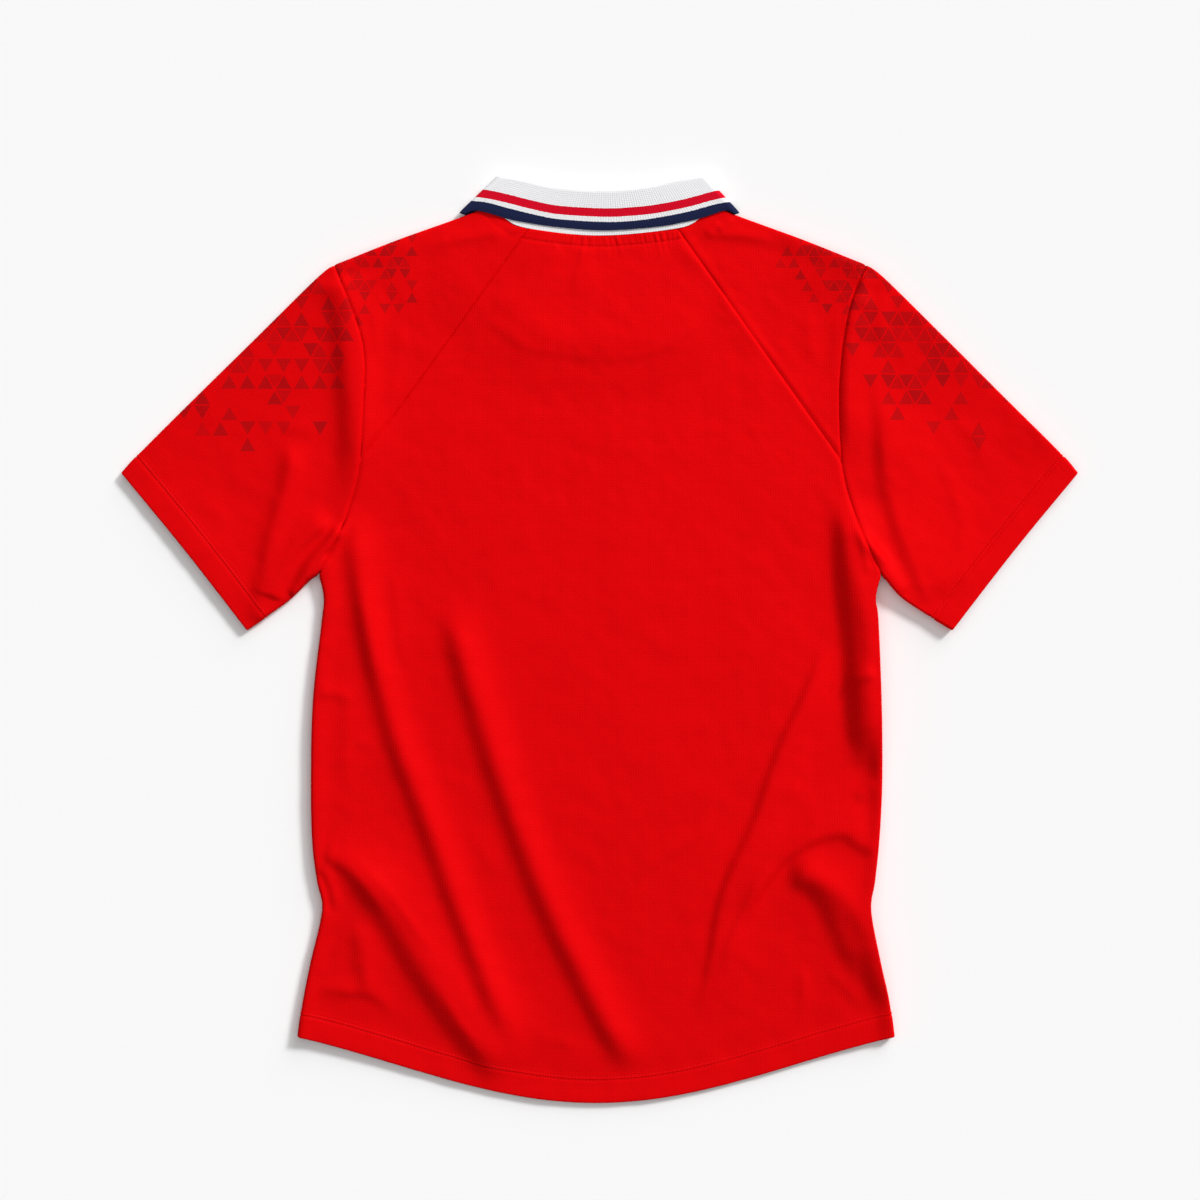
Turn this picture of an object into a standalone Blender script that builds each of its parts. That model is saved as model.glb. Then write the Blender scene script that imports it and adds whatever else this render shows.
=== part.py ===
"""Football jersey laid flat, back up.

Every piece that is cut and sewn is one closed wall of cloth, parted from its neighbours by a
seam gap. The front panel lies on the surface and the back panel lies on it. The shoulder panels
and the sleeves turn over the folded edges, and the collar turns from the back round to the front.

Sizes are in millimetres and become metres when a mesh is made. +X is to the right, +Y towards
the collar and +Z up. The origin is on the surface, below the middle of the garment. Left and
right are the wearer's: the back is up, so the wearer's left is at -X.
"""
from collections import namedtuple
import math

import bmesh
import bpy
import numpy as np

# ---------------------------------------------------------------- driving dimensions (mm)
CLOTH = 1.25            # wall of the body cloth
RIB = 1.8               # wall of the flat-knit collar
SEAM_GAP = 0.3          # between pieces, and between layers that lie on each other
LEAF_GAP = 0.8          # between the collar's stand and its leaf
HEM_BAND = 21.0         # depth of the turned hem and cuffs
HEM_STEP = 1.5          # length over which the turned layer ends
HEM_EXTRA = 0.5         # what the turned layer adds to the wall
HEM_COVER = 36.0        # how far the back rides on the front's turned hem

STAND_TURN = (RIB + SEAM_GAP) / 2                 # radius of the stand at a side crease
LEAF_TURN = STAND_TURN + RIB + LEAF_GAP           # radius of the leaf round the stand
FOLD_LEVEL = LEAF_TURN + RIB / 2                  # height of the middle of every folded edge
SIDE_ROLL = 5.0                                   # roll radius of the body's folded edges
ROLL_SHARES = (0.0, 0.134, 0.5, 1.0)              # 1 - cos of 0, 30, 60 and 90 degrees
LIP_WIDTH = 15.0                                  # inner flank of the raised edges
LYING = CLOTH / 2                                 # middle of cloth that lies on the surface

HEM_DROP_BACK = 57.0                              # curved tail, below its corners
HEM_DROP_FRONT = 45.0
HEM_BEND_REACH = 330.0                            # how far up rows follow the hem's curve
HEM_TIP = 0.3                                     # share of the hem's drop in its middle swell
JUNCTION_Y = 149.0                                # where diagonal seam and armhole meet
FRONT_SEAM_Y = 318.0                              # where it meets the front neckline
CUFF_BOW = 1.5                                    # how far the cuff edge curves in
CUFF_LIFT = 3.0                                   # gape of the sleeve's mouth
CUFF_REACH = 60.0

NECK_BACK_Y = 347.0
NECK_FRONT_Y = 265.0
FRONT_FOLD_Y = 293.0
FRONT_LEAF_Y = 239.0
NECK_HALF = 96.0                                  # half widths: neckline, top fold, leaf's edge
FOLD_HALF = 84.0
LEAF_HALF = 118.0
NECK_ROUNDNESS = 2.3                              # exponent of the front neck's curve
COLLAR_SAG = 1.6                                  # how far the back collar sinks
COLLAR_SAG_HALF = 70.0
COLLAR_LOFT = 1.3                                 # fullness of its top fold
COLLAR_END = 1.5                                  # half gap of the ends at centre front
COLLAR_POINT = 9.0                                # half gap of the ends at the leaf's edge
LEAF_SLOPE = 22.0                                 # how far the front runs down beside the leaf
BACK_SLOPE = 48.0                                 # the same for the back, which spans more
UNDERARM_TURN = 6.0                               # reach of the shared way out at the underarm
NECK_FLAT = 30.0                                  # thin stretch of shoulder under the leaf
NECK_GROWTH = 80.0                                # over which the shoulder roll fills out
NECK_REACH = 35.0                                 # over which cloth rises to the collar seam
HOLE_SAG = 1.0                                    # back panel over the open front neck
HOLE_START, HOLE_FADE = 0.92, 0.3                 # where it begins, as shares of the front fold
STAND_LIFT = 0.3                                  # cloth over the front stand
STAND_START, STAND_FADE = 1.12, 0.1               # the same, shares of the front neckline
LIP_CALM = 0.6                                    # how much a raised edge quiets the folds

PUCKER_ROWS = (12.0, 8.5, 5.0, 2.5, 0.0)          # distances from the neckline
PUCKER_HEIGHTS = (0.0, 0.25, 0.45, 0.35, 0.0)     # half height of the seam's small gathers
BODY_ROWS = 24                                    # between the hem and the underarm
ARM_ROLL = 80.0                                   # up the armhole, until rows end without a roll
ARM_START = 14.0                                  # up the armhole, the first row past its roll
COLUMNS = 48                                      # across the back: 24 gathers at the neck

# ---------------------------------------------------------------- the cut, as it lies (mm)
Edge = namedtuple("Edge", "y left right")
SIDE_SEAMS = [
    Edge(-341.0, -258.4, 252.4),
    Edge(-310.0, -254.1, 248.1),
    Edge(-275.6, -247.2, 240.4),
    Edge(-232.0, -237.6, 232.4),
    Edge(-206.8, -242.1, 235.8),
    Edge(-172.4, -246.2, 239.5),
    Edge(-120.0, -247.2, 242.1),
    Edge(-52.0, -245.5, 241.2),
    Edge(16.8, -237.8, 238.6),
    Edge(36.0, -236.2, 236.4),
    Edge(57.0, -240.4, 241.2),
]
ARMHOLES = [
    Edge(57.0, -240.4, 241.2),
    Edge(80.0, -227.7, 229.9),
    Edge(113.0, -215.4, 217.3),
    Edge(JUNCTION_Y, -206.0, 208.6),
    Edge(202.0, -202.5, 205.9),
    Edge(237.0, -201.2, 207.4),
    Edge(262.0, -204.9, 210.3),
    Edge(292.0, -215.4, 216.6),
    Edge(321.0, -227.5, 228.3),
]
SHOULDERS = [
    Edge(321.0, -227.5, 228.3),
    Edge(343.0, -172.0, 173.5),
    Edge(364.2, -113.0, 116.0),
    Edge(373.7, -93.0, 96.0),
]
SLEEVE_TOPS = [
    Edge(321.0, -227.5, 228.3),
    Edge(309.2, -243.0, 244.7),
    Edge(257.6, -295.4, 297.1),
    Edge(206.0, -347.9, 348.7),
    Edge(160.0, -394.0, 395.0),
    Edge(142.3, -410.0, 410.0),
]
UNDERARMS = [
    Edge(57.0, -240.4, 241.2),
    Edge(51.2, -249.0, 246.4),
    Edge(34.0, -267.0, 262.7),
    Edge(8.6, -303.2, 303.2),
]
BACK_NECK = [
    Edge(373.7, -93.0, 96.0),
    Edge(361.6, -81.3, 86.0),
    Edge(353.0, -61.5, 66.6),
]
LEAF_EDGE = [
    Edge(366.5, -113.5, 115.5),
    Edge(368.2, -107.0, 110.0),
    Edge(361.8, -81.3, 86.4),
    Edge(356.8, -61.5, 72.7),
    Edge(353.0, -35.7, 43.4),
]
COLLAR_TOP = [
    Edge(395.5, -84.5, 87.5),
    Edge(392.5, -65.8, 68.0),
    Edge(387.2, -43.4, 45.0),
    Edge(384.2, -16.0, 20.0),
]
LEAF_EDGE_BACK_Y = 351.0
COLLAR_TOP_BACK_Y = 383.7
CREASE_OUT_TOP = 31.5       # degrees that the crease's outward way is turned up, at the top fold
CREASE_OUT_LEAF = 46.0      # the same at the leaf's edge

# Folds of the back and the sleeves. Each crest is a curve from start to end, bent by two
# points. Left and right are its flanks as one walks along it; the fades are shares of it.
Ridge = namedtuple("Ridge", "name start bend_1 bend_2 end height left right fade_in fade_out")
RIDGES = [
    Ridge("left_long", (-213, 116), (-188, -50), (-139, -215), (-60, -362), 4.4, 13, 10, 0.25, 0.12),
    Ridge("middle_long", (-129, 34), (-92, -105), (-48, -254), (43, -367), 5.6, 14, 11, 0.25, 0.10),
    Ridge("left_low", (-247, -183), (-193, -179), (-107, -344), (-73, -392), 5.2, 13, 13, 0.12, 0.0),
    Ridge("right_long", (200, 17), (167, -106), (92, -218), (90, -349), 3.4, 18, 11, 0.25, 0.30),
    Ridge("right_arch", (241, -181), (159, -102), (105, -281), (86, -332), 4.6, 13, 15, 0.10, 0.35),
    Ridge("right_pinch", (241, -240), (225, -217), (191, -178), (160, -207), 4.2, 12, 15, 0.10, 0.35),
    Ridge("left_waist", (-238, -222), (-228, -228), (-220, -236), (-205, -242), 3.0, 11, 11, 0.10, 0.50),
    Ridge("left_hip", (-199, -254), (-200, -276), (-197, -298), (-185, -317), 2.0, 11, 11, 0.30, 0.30),
    Ridge("left_cap", (-221, 300), (-214, 254), (-209, 190), (-216, 120), 3.0, 11, 13, 0.20, 0.30),
    Ridge("left_sleeve", (-265, 172), (-263, 123), (-292, 82), (-294, 34), 3.6, 14, 14, 0.30, 0.20),
    Ridge("left_underarm", (-226, 111), (-248, 92), (-262, 78), (-270, 40), 3.2, 11, 11, 0.20, 0.20),
    Ridge("right_cap", (224, 300), (217, 253), (216, 190), (222, 129), 3.0, 13, 11, 0.20, 0.30),
    Ridge("right_sleeve", (245, 172), (238, 120), (276, 82), (286, 34), 3.8, 13, 14, 0.30, 0.20),
    Ridge("right_underarm", (216, 117), (224, 104), (234, 92), (245, 80), 2.4, 11, 11, 0.30, 0.30),
]
RIDGE_STEPS = 20

Look = namedtuple("Look", "name colour roughness")
BODY_LOOK = Look("red polyester knit", (0.70, 0.004, 0.006, 1.0), 0.75)
COLLAR_LOOK = Look("white rib knit", (0.78, 0.78, 0.79, 1.0), 0.85)


# ---------------------------------------------------------------- curves in plan
def ease(value):
    """Rise smoothly from 0 to 1 as the value goes from 0 to 1."""
    held = np.clip(value, 0.0, 1.0)
    return held * held * (3.0 - 2.0 * held)


def rounded(points, steps=8):
    """Return a smooth line through the points."""
    knots = np.array(points, float)
    ends = np.vstack([2 * knots[0] - knots[1], knots, 2 * knots[-1] - knots[-2]])
    line = []
    for before, start, end, after in zip(ends, ends[1:], ends[2:], ends[3:]):
        for step in range(steps):
            t = step / steps
            line.append(0.5 * (2 * start + (end - before) * t
                               + (2 * before - 5 * start + 4 * end - after) * t * t
                               + (3 * start - before - 3 * end + after) * t ** 3))
    return np.array(line + [knots[-1]])


class Path:
    """A line in plan that is read by the share of its length."""

    def __init__(self, points):
        self.points = np.array(points, float)
        steps = np.linalg.norm(np.diff(self.points, axis=0), axis=1)
        self.reached = np.concatenate([[0.0], np.cumsum(steps)])
        self.length = self.reached[-1]

    def at(self, share):
        reach = np.asarray(share) * self.length
        columns = [np.interp(reach, self.reached, self.points[:, axis]) for axis in (0, 1)]
        return np.stack(columns, axis=-1)

    def cut(self, low, high):
        """Return the stretch between two shares, which may run backwards."""
        return Path(self.at(np.linspace(low, high, 40)))

    def share_at_height(self, y):
        return float(np.argmin(np.abs(self.points[:, 1] - y))) / (len(self.points) - 1)


def one_side(table, side):
    """Return the smooth path through one side of a table of edges."""
    return Path(rounded([(getattr(row, side), row.y) for row in table]))


def both_sides(table, middle):
    """Return the smooth path from the left through the middle to the right."""
    left = [(row.left, row.y) for row in table]
    right = [(row.right, row.y) for row in reversed(table)]
    return Path(rounded(left + [middle] + right))


def hem_path(drop):
    """Return the curved hem from the left corner to the right one."""
    left, right = SIDE_SEAMS[0].left, SIDE_SEAMS[0].right
    middle = (left + right) / 2
    points = []
    for x in np.linspace(left, right, 61):
        turn = math.pi * (x - middle) / (right - left)
        sweep = (1 - HEM_TIP) * math.cos(turn) + HEM_TIP * (1 + math.cos(2 * turn)) / 2
        points.append((x, SIDE_SEAMS[0].y - drop * sweep))
    return Path(points)


def front_curve(low_y, half_width, high_y, gap):
    """Return one half of a front neck curve, from centre front up to the left crease."""
    points = []
    for turn in np.linspace(0.0, math.pi / 2, 33):
        x = half_width * math.sin(turn) ** (2 / NECK_ROUNDNESS)
        y = high_y - (high_y - low_y) * max(math.cos(turn), 0.0) ** (2 / NECK_ROUNDNESS)
        points.append((-max(x, gap), y))
    return Path(points)


class Cut:
    """The seams and folded edges of one side of the garment."""

    def __init__(self, side):
        self.sign = -1.0 if side == "left" else 1.0
        self.side_seam = one_side(SIDE_SEAMS, side)
        self.armhole = one_side(ARMHOLES, side)
        self.shoulder = one_side(list(reversed(SHOULDERS)), side)
        self.sleeve_top = one_side(SLEEVE_TOPS, side)
        self.underarm = one_side(UNDERARMS, side)
        self.junction = self.armhole.share_at_height(JUNCTION_Y)
        corner = self.armhole.at(self.junction)
        neck = [getattr(BACK_NECK[-1], side), BACK_NECK[-1].y]
        self.diagonal = Path([corner, neck])
        self.neck_point = self.shoulder.at(0.0)
        underarm_way = self.underarm.at(0.1) - self.underarm.at(0.0)
        seam_way = self.side_seam.at(0.95) - self.side_seam.at(1.0)
        inner = -(underarm_way / np.linalg.norm(underarm_way) + seam_way / np.linalg.norm(seam_way))
        self.underarm_inward = inner / np.linalg.norm(inner)
        half_neck = abs(self.neck_point[0])
        neck_half = front_curve(NECK_FRONT_Y, half_neck, self.neck_point[1], 0.0)
        self.front_neck = Path(neck_half.points * (-self.sign, 1.0))
        self.front_neck_share = self.front_neck.share_at_height(FRONT_SEAM_Y)
        self.front_diagonal = Path([corner, self.front_neck.at(self.front_neck_share)])
        top, bottom = self.sleeve_top.at(1.0), self.underarm.at(1.0)
        middle = (top + bottom) / 2 - np.array([self.sign * CUFF_BOW, 0.0])
        self.cuff = Path(rounded([top, middle, bottom]))


CUTS = {"left": Cut("left"), "right": Cut("right")}
BACK_HEM = hem_path(HEM_DROP_BACK)
FRONT_HEM = hem_path(HEM_DROP_FRONT)
WHOLE_NECKLINE = both_sides(BACK_NECK, (0.0, NECK_BACK_Y))
BEFORE_DIAGONAL = 2 / 6                 # knots of the neckline before and after the diagonals
AFTER_DIAGONAL = 4 / 6


def knot_share(path, knot_part):
    """Return the share of a path's length at a share of its knots."""
    return path.reached[round(knot_part * (len(path.points) - 1))] / path.length


NECK_CUTS = tuple(knot_share(WHOLE_NECKLINE, part) for part in (BEFORE_DIAGONAL, AFTER_DIAGONAL))
NECKLINE = WHOLE_NECKLINE.cut(*NECK_CUTS)
SIDE_NECKS = {"left": WHOLE_NECKLINE.cut(0.0, NECK_CUTS[0]),
              "right": WHOLE_NECKLINE.cut(1.0, NECK_CUTS[1])}


# ---------------------------------------------------------------- how high the cloth lies
def nearest(points, line):
    """Return distance to a line, the way off it, the side (+1 left of it) and the share along."""
    start, step = line[:-1], np.diff(line, axis=0)
    length = np.linalg.norm(step, axis=1)
    offset = points[..., None, :] - start
    along = np.clip((offset * step).sum(-1) / length ** 2, 0.0, 1.0)
    away = offset - along[..., None] * step
    distance = np.linalg.norm(away, axis=-1)
    best = distance.argmin(-1)

    def pick(values):
        return np.take_along_axis(values, best[..., None], -1)[..., 0]

    distance = pick(distance)
    way = np.stack([pick(away[..., 0]), pick(away[..., 1])], -1)
    across = np.stack([-step[best][..., 1], step[best][..., 0]], -1) / length[best][..., None]
    side = np.where((way * across).sum(-1) < 0.0, -1.0, 1.0)
    reached = np.concatenate([[0.0], np.cumsum(length)])
    share = (reached[best] + pick(along) * length[best]) / reached[-1]
    return distance, way, across, side, share


def longer(points, reach=80.0):
    """Return a line with its last stretch carried on past its end."""
    way = points[-1] - points[-2]
    return np.vstack([points, points[-1] + way / np.linalg.norm(way) * reach])


def folded_lines():
    """Return the folded edges, each with the side of it on which the cloth lies."""
    lines = []
    for cut in CUTS.values():
        upper = np.vstack([cut.shoulder.points, longer(cut.sleeve_top.points)[1:]])
        sleeve_end = longer(cut.underarm.points)
        body_end = longer(cut.side_seam.points[::-1])
        lower = np.vstack([sleeve_end[::-1], body_end[1:]])
        lines.append((upper, -cut.sign))
        lines.append((lower, cut.sign * -1.0))
    return lines


FOLDED = folded_lines()


def edge_distance(points):
    """Return the distance to the nearest folded edge and the inward way there."""
    best = np.full(points.shape[:-1], np.inf)
    inward = np.zeros(points.shape)
    for line, cloth_side in FOLDED:
        distance, way, across, _, _ = nearest(points, line)
        closer = distance < best
        on_edge = (distance < 0.01)[..., None]
        found = np.where(on_edge, across * cloth_side, way / np.maximum(distance, 0.01)[..., None])
        inward = np.where(closer[..., None], found, inward)
        best = np.where(closer, distance, best)
    for cut in CUTS.values():
        reach = np.linalg.norm(points - cut.underarm.at(0.0), axis=-1)
        shared = (1.0 - ease(reach / UNDERARM_TURN))[..., None]
        inward = inward * (1.0 - shared) + cut.underarm_inward * shared
    return best, inward


def front_ring(points, low_y, half_width, high_y):
    """Return 1 on a front neck curve, less inside it and more outside it."""
    across = np.abs(points[..., 0]) / half_width
    down = np.clip(high_y - points[..., 1], 0.0, None) / (high_y - low_y)
    return (across ** NECK_ROUNDNESS + down ** NECK_ROUNDNESS) ** (1 / NECK_ROUNDNESS)


def lying_level(points, run=LEAF_SLOPE):
    """Return the height of the lower cloth: on the surface, or over the front leaf."""
    leaf_depth = LEAF_EDGE[0].y - FRONT_LEAF_Y
    ring = front_ring(points, FRONT_LEAF_Y, LEAF_HALF, LEAF_EDGE[0].y)
    beyond = (ring - 1.0) * leaf_depth / run
    over_leaf = FOLD_LEVEL - STAND_TURN
    return over_leaf + (LYING - over_leaf) * ease(beyond)


def collar_sag(x):
    """Return how far the back collar and neckline sink between the side creases."""
    inside = np.clip(1.0 - (x / COLLAR_SAG_HALF) ** 2, 0.0, 1.0)
    return COLLAR_SAG * inside ** 2


def neck_distance(points):
    """Return the distance to the nearer end of the shoulder folds at the neck."""
    left = np.linalg.norm(points - CUTS["left"].neck_point, axis=-1)
    right = np.linalg.norm(points - CUTS["right"].neck_point, axis=-1)
    return np.minimum(left, right)


def roll_radius(points):
    """Return the roll radius of the upper cloth: small at the neck, full further out."""
    growth = ease((neck_distance(points) - NECK_FLAT) / NECK_GROWTH)
    return STAND_TURN + (SIDE_ROLL - STAND_TURN) * growth


def crest(ridge):
    """Return the crest of a fold as a line."""
    t = np.linspace(0.0, 1.0, RIDGE_STEPS + 1)[:, None]
    start, bend_1, bend_2, end = (np.array(point, float) for point in ridge[1:5])
    early = (1 - t) ** 3 * start + 3 * (1 - t) ** 2 * t * bend_1
    return early + 3 * (1 - t) * t * t * bend_2 + t ** 3 * end


CRESTS = [(ridge, crest(ridge)) for ridge in RIDGES]


def fold_height(points):
    """Return what the folds add to the upper cloth."""
    total = np.zeros(points.shape[:-1])
    for ridge, line in CRESTS:
        distance, _, _, side, share = nearest(points, line)
        width = np.where(side > 0.0, ridge.left, ridge.right)
        rise = ease(share / ridge.fade_in)
        fall = ease((1.0 - share) / ridge.fade_out) if ridge.fade_out else 1.0
        total += ridge.height * rise * fall * np.exp(-(distance / width) ** 2)
    return total


def open_edge_lift(points):
    """Return what the turned hem and the gaping cuffs add to the upper cloth."""
    hem = nearest(points, BACK_HEM.points)[0]
    lift = HEM_EXTRA * ease(1.0 - (hem - HEM_COVER) / HEM_BAND)
    for cut in CUTS.values():
        cuff = nearest(points, cut.cuff.points)[0]
        lift = lift + CUFF_LIFT * ease((CUFF_REACH - cuff) / CUFF_REACH)
    return lift


def upper_level(points):
    """Return the height of the upper cloth before its edges roll down."""
    base = lying_level(points, BACK_SLOPE) + CLOTH + SEAM_GAP + open_edge_lift(points)
    fold_ring = front_ring(points, FRONT_FOLD_Y, FOLD_HALF, COLLAR_TOP[0].y)
    stand_ring = front_ring(points, NECK_FRONT_Y, NECK_HALF, BACK_NECK[0].y)
    base = base + STAND_LIFT * ease((STAND_START - stand_ring) / STAND_FADE)
    base = base - HOLE_SAG * ease((HOLE_START - fold_ring) / HOLE_FADE)
    seam_level = FOLD_LEVEL + STAND_TURN - collar_sag(points[..., 0])
    near_neck = ease(1.0 - nearest(points, WHOLE_NECKLINE.points)[0] / NECK_REACH)
    base = base + (seam_level - base) * near_neck
    edge, _ = edge_distance(points)
    roll = roll_radius(points)
    lip = np.exp(-(np.maximum(edge - roll, 0.0) / LIP_WIDTH) ** 2)
    rim = FOLD_LEVEL + roll
    clear_of_neck = 1.0 - near_neck
    folds = fold_height(points) * clear_of_neck * (1.0 - LIP_CALM * lip)
    return base + (rim - base) * lip + folds


def slope(level, points, step=0.4):
    """Return how steeply a level rises along X and Y."""
    rises = []
    for axis in (0, 1):
        shift = np.zeros(2)
        shift[axis] = step
        rises.append((level(points + shift) - level(points - shift)) / (2 * step))
    return np.stack(rises, -1)


def layer(points, level, roll, facing):
    """Lay cloth at a level over plan points, rolled to the fold level at folded edges.

    Return the middle of the wall and the way out of it. Facing is 1 for the upper layer
    and -1 for the lower one.
    """
    edge, inward = edge_distance(points)
    share = np.clip(edge / roll, 0.0, 1.0)
    turned = np.sqrt(np.maximum(1.0 - (1.0 - share) ** 2, 0.0))
    height = level(points) - FOLD_LEVEL
    steep = height / roll * (1.0 - share) / np.maximum(turned, 1e-3)
    rise = slope(level, points) * turned[..., None] + steep[..., None] * inward
    middle = np.concatenate([points, (FOLD_LEVEL + height * turned)[..., None]], -1)
    out = facing * np.concatenate([-rise, np.ones(height.shape)[..., None]], -1)
    return middle, out / np.linalg.norm(out, axis=-1, keepdims=True)


def lower_roll(points):
    """Return the roll radius of the lower cloth, which turns up to the fold level."""
    return FOLD_LEVEL - lying_level(points)


def upper_layer(points):
    return layer(points, upper_level, roll_radius(points), 1.0)


def lower_layer(points):
    return layer(points, lying_level, lower_roll(points), -1.0)


# ---------------------------------------------------------------- grids in plan
def patch(start, end, first, last, shares, first_weight, last_weight):
    """Fill the space between four edges.

    Row i runs from start[i] to end[i] with its points at shares[i]. It takes the bend of the
    first edge by first_weight[i] and of the last edge by last_weight[i].
    """
    def bend(path, share):
        straight = path.at(0.0) + (path.at(1.0) - path.at(0.0)) * share[..., None]
        return path.at(share) - straight

    rows = start[:, None] + (end - start)[:, None] * shares[..., None]
    rows = rows + first_weight[:, None, None] * bend(first, shares)
    return rows + last_weight[:, None, None] * bend(last, shares)


def spread(length, near, count, rolled):
    """Return the shares of a row: close together at rolled ends, else even.

    Near holds the distances from an end, count is the number of steps and rolled says how
    far the row is rolled, from 0 to 1.
    """
    inner = np.linspace(near[-1], length - near[-1], count - 2 * len(near) + 3)[1:-1]
    close = np.concatenate([near, inner, length - np.array(near)[::-1]])
    even = np.linspace(0.0, length, count + 1)
    return (even + (close - even) * rolled) / length


# ---------------------------------------------------------------- walls
def trimmed(middle, first_row=False, last_row=False, first_column=False, last_column=False):
    """Draw the named edges of a grid back by half the seam gap, square to each seam."""
    grid = middle.copy()
    for wanted, turned, end in ((first_row, False, 0), (last_row, False, -1),
                                (first_column, True, 0), (last_column, True, -1)):
        if not wanted:
            continue
        view = grid.transpose(1, 0, 2) if turned else grid
        source = middle.transpose(1, 0, 2) if turned else middle
        inner = 1 if end == 0 else -2
        inward = source[inner] - source[end]
        inward /= np.linalg.norm(inward, axis=-1, keepdims=True)
        along = np.gradient(source[end], axis=0)
        along /= np.maximum(np.linalg.norm(along, axis=-1, keepdims=True), 1e-9)
        lean = (inward * along).sum(-1, keepdims=True)
        square = np.sqrt(np.maximum(1.0 - lean ** 2, 0.25))
        view[end] += inward * (SEAM_GAP / 2) / square
    return grid


def wall(name, middle, out, outside, inside, look, ring=False):
    """Make one closed wall from the grid of its middle and the ways out of it."""
    rows, columns = middle.shape[:2]
    outer = middle + out * np.broadcast_to(outside, (rows, columns))[..., None]
    inner = middle - out * np.broadcast_to(inside, (rows, columns))[..., None]
    mesh = bmesh.new()
    skins = []
    for skin in (outer, inner):
        skins.append([[mesh.verts.new(point * 0.001) for point in row] for row in skin])
    last = columns if ring else columns - 1

    def cell(skin, row, column):
        beside = (column + 1) % columns
        return (skin[row][column], skin[row][beside],
                skin[row + 1][beside], skin[row + 1][column])

    for skin in skins:
        for row in range(rows - 1):
            for column in range(last):
                a, b, c, d = cell(skin, row, column)
                if a.co.z + c.co.z > b.co.z + d.co.z:
                    corners = ((a, b, c), (a, c, d))
                else:
                    corners = ((a, b, d), (b, c, d))
                for corner in corners:
                    mesh.faces.new(corner)
    top, under = skins
    for row in (0, rows - 1):
        for column in range(last):
            beside = (column + 1) % columns
            mesh.faces.new((top[row][column], top[row][beside],
                            under[row][beside], under[row][column]))
    if not ring:
        for column in (0, columns - 1):
            for row in range(rows - 1):
                mesh.faces.new((top[row][column], top[row + 1][column],
                                under[row + 1][column], under[row][column]))
    bmesh.ops.recalc_face_normals(mesh, faces=mesh.faces)
    return placed(name, mesh, look)


def placed(name, mesh, look):
    """Turn a mesh into the named object of a piece."""
    data = bpy.data.meshes.new(name)
    mesh.to_mesh(data)
    mesh.free()
    data.materials.append(material(look))
    data.shade_smooth()
    data.set_sharp_from_angle(angle=math.radians(50))
    piece = bpy.data.objects.new(name, data)
    PARTS.objects.link(piece)
    return piece


def material(look):
    """Return the cloth's material, made once."""
    found = bpy.data.materials.get(look.name)
    if found:
        return found
    made = bpy.data.materials.new(look.name)
    made.use_nodes = True
    shader = made.node_tree.nodes["Principled BSDF"]
    shader.inputs["Base Color"].default_value = look.colour
    shader.inputs["Roughness"].default_value = look.roughness
    shader.inputs["Metallic"].default_value = 0.0
    made.diffuse_color = look.colour
    return made


# ---------------------------------------------------------------- the pieces
def near_fold(roll, beyond=()):
    """Return distances from a folded edge: round its roll and then down its inner flank."""
    return tuple(roll * share for share in ROLL_SHARES) + tuple(roll + step for step in beyond)


def band_wall(distance):
    """Return the wall's added layer within a turned hem, from the distance to its edge."""
    return HEM_EXTRA * ease((HEM_BAND + HEM_STEP - distance) / HEM_STEP)


def panel_plan(hem, neckline, neck_ends, side_steps, arm_steps, neck_steps, near, count):
    """Return the plan grid of a body panel, with how far each point is from the hem."""
    starts, ends, rolled, from_hem, above = [], [], [], [], []
    left, right = CUTS["left"], CUTS["right"]
    for step in side_steps:
        share = step / left.side_seam.length
        starts.append(left.side_seam.at(share))
        ends.append(right.side_seam.at(share))
        rolled.append(1.0)
        from_hem.append(step)
        above.append(0.0)
    for step in arm_steps:
        share = step / left.armhole.length
        starts.append(left.armhole.at(min(share, left.junction)))
        ends.append(right.armhole.at(min(share, right.junction)))
        rolled.append(1.0 - float(ease(step / ARM_ROLL)))
        from_hem.append(left.side_seam.length + step)
        above.append(0.0)
    reach = float(np.linalg.norm(neck_ends[0].at(1.0) - neck_ends[0].at(0.0)))
    for step in neck_steps:
        share = 1.0 - step / reach
        starts.append(neck_ends[0].at(share))
        ends.append(neck_ends[1].at(share))
        rolled.append(0.0)
        from_hem.append(left.side_seam.length + reach)
        above.append(share)
    starts, ends = np.array(starts), np.array(ends)
    widths = np.linalg.norm(ends - starts, axis=1)
    shares = np.array([spread(width, near, count, part) for width, part in zip(widths, rolled)])
    hem_bend = 1.0 - ease((np.array(from_hem) - HEM_BAND) / HEM_BEND_REACH)
    neck_bend = ease(np.array(above))
    return patch(starts, ends, hem, neckline, shares, hem_bend, neck_bend), np.array(from_hem)


def hem_steps(side):
    """Return distances up a side seam from the hem, with the turned hem's own rows."""
    rows = np.linspace(HEM_BAND, side, BODY_ROWS + 1)[1:]
    return [0.0, HEM_BAND, HEM_BAND + HEM_STEP] + list(rows)


def diagonal_steps(reach, first):
    """Return distances along a diagonal seam from the neck, shared by both its pieces."""
    return [0.0] + list(np.linspace(first, reach, 9))


def arm_stations(roll, steps):
    """Return distances up the armhole from the underarm to the junction."""
    reach = CUTS["left"].armhole.length * CUTS["left"].junction
    return list(near_fold(roll)[1:]) + list(np.linspace(ARM_START, reach, steps))


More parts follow.
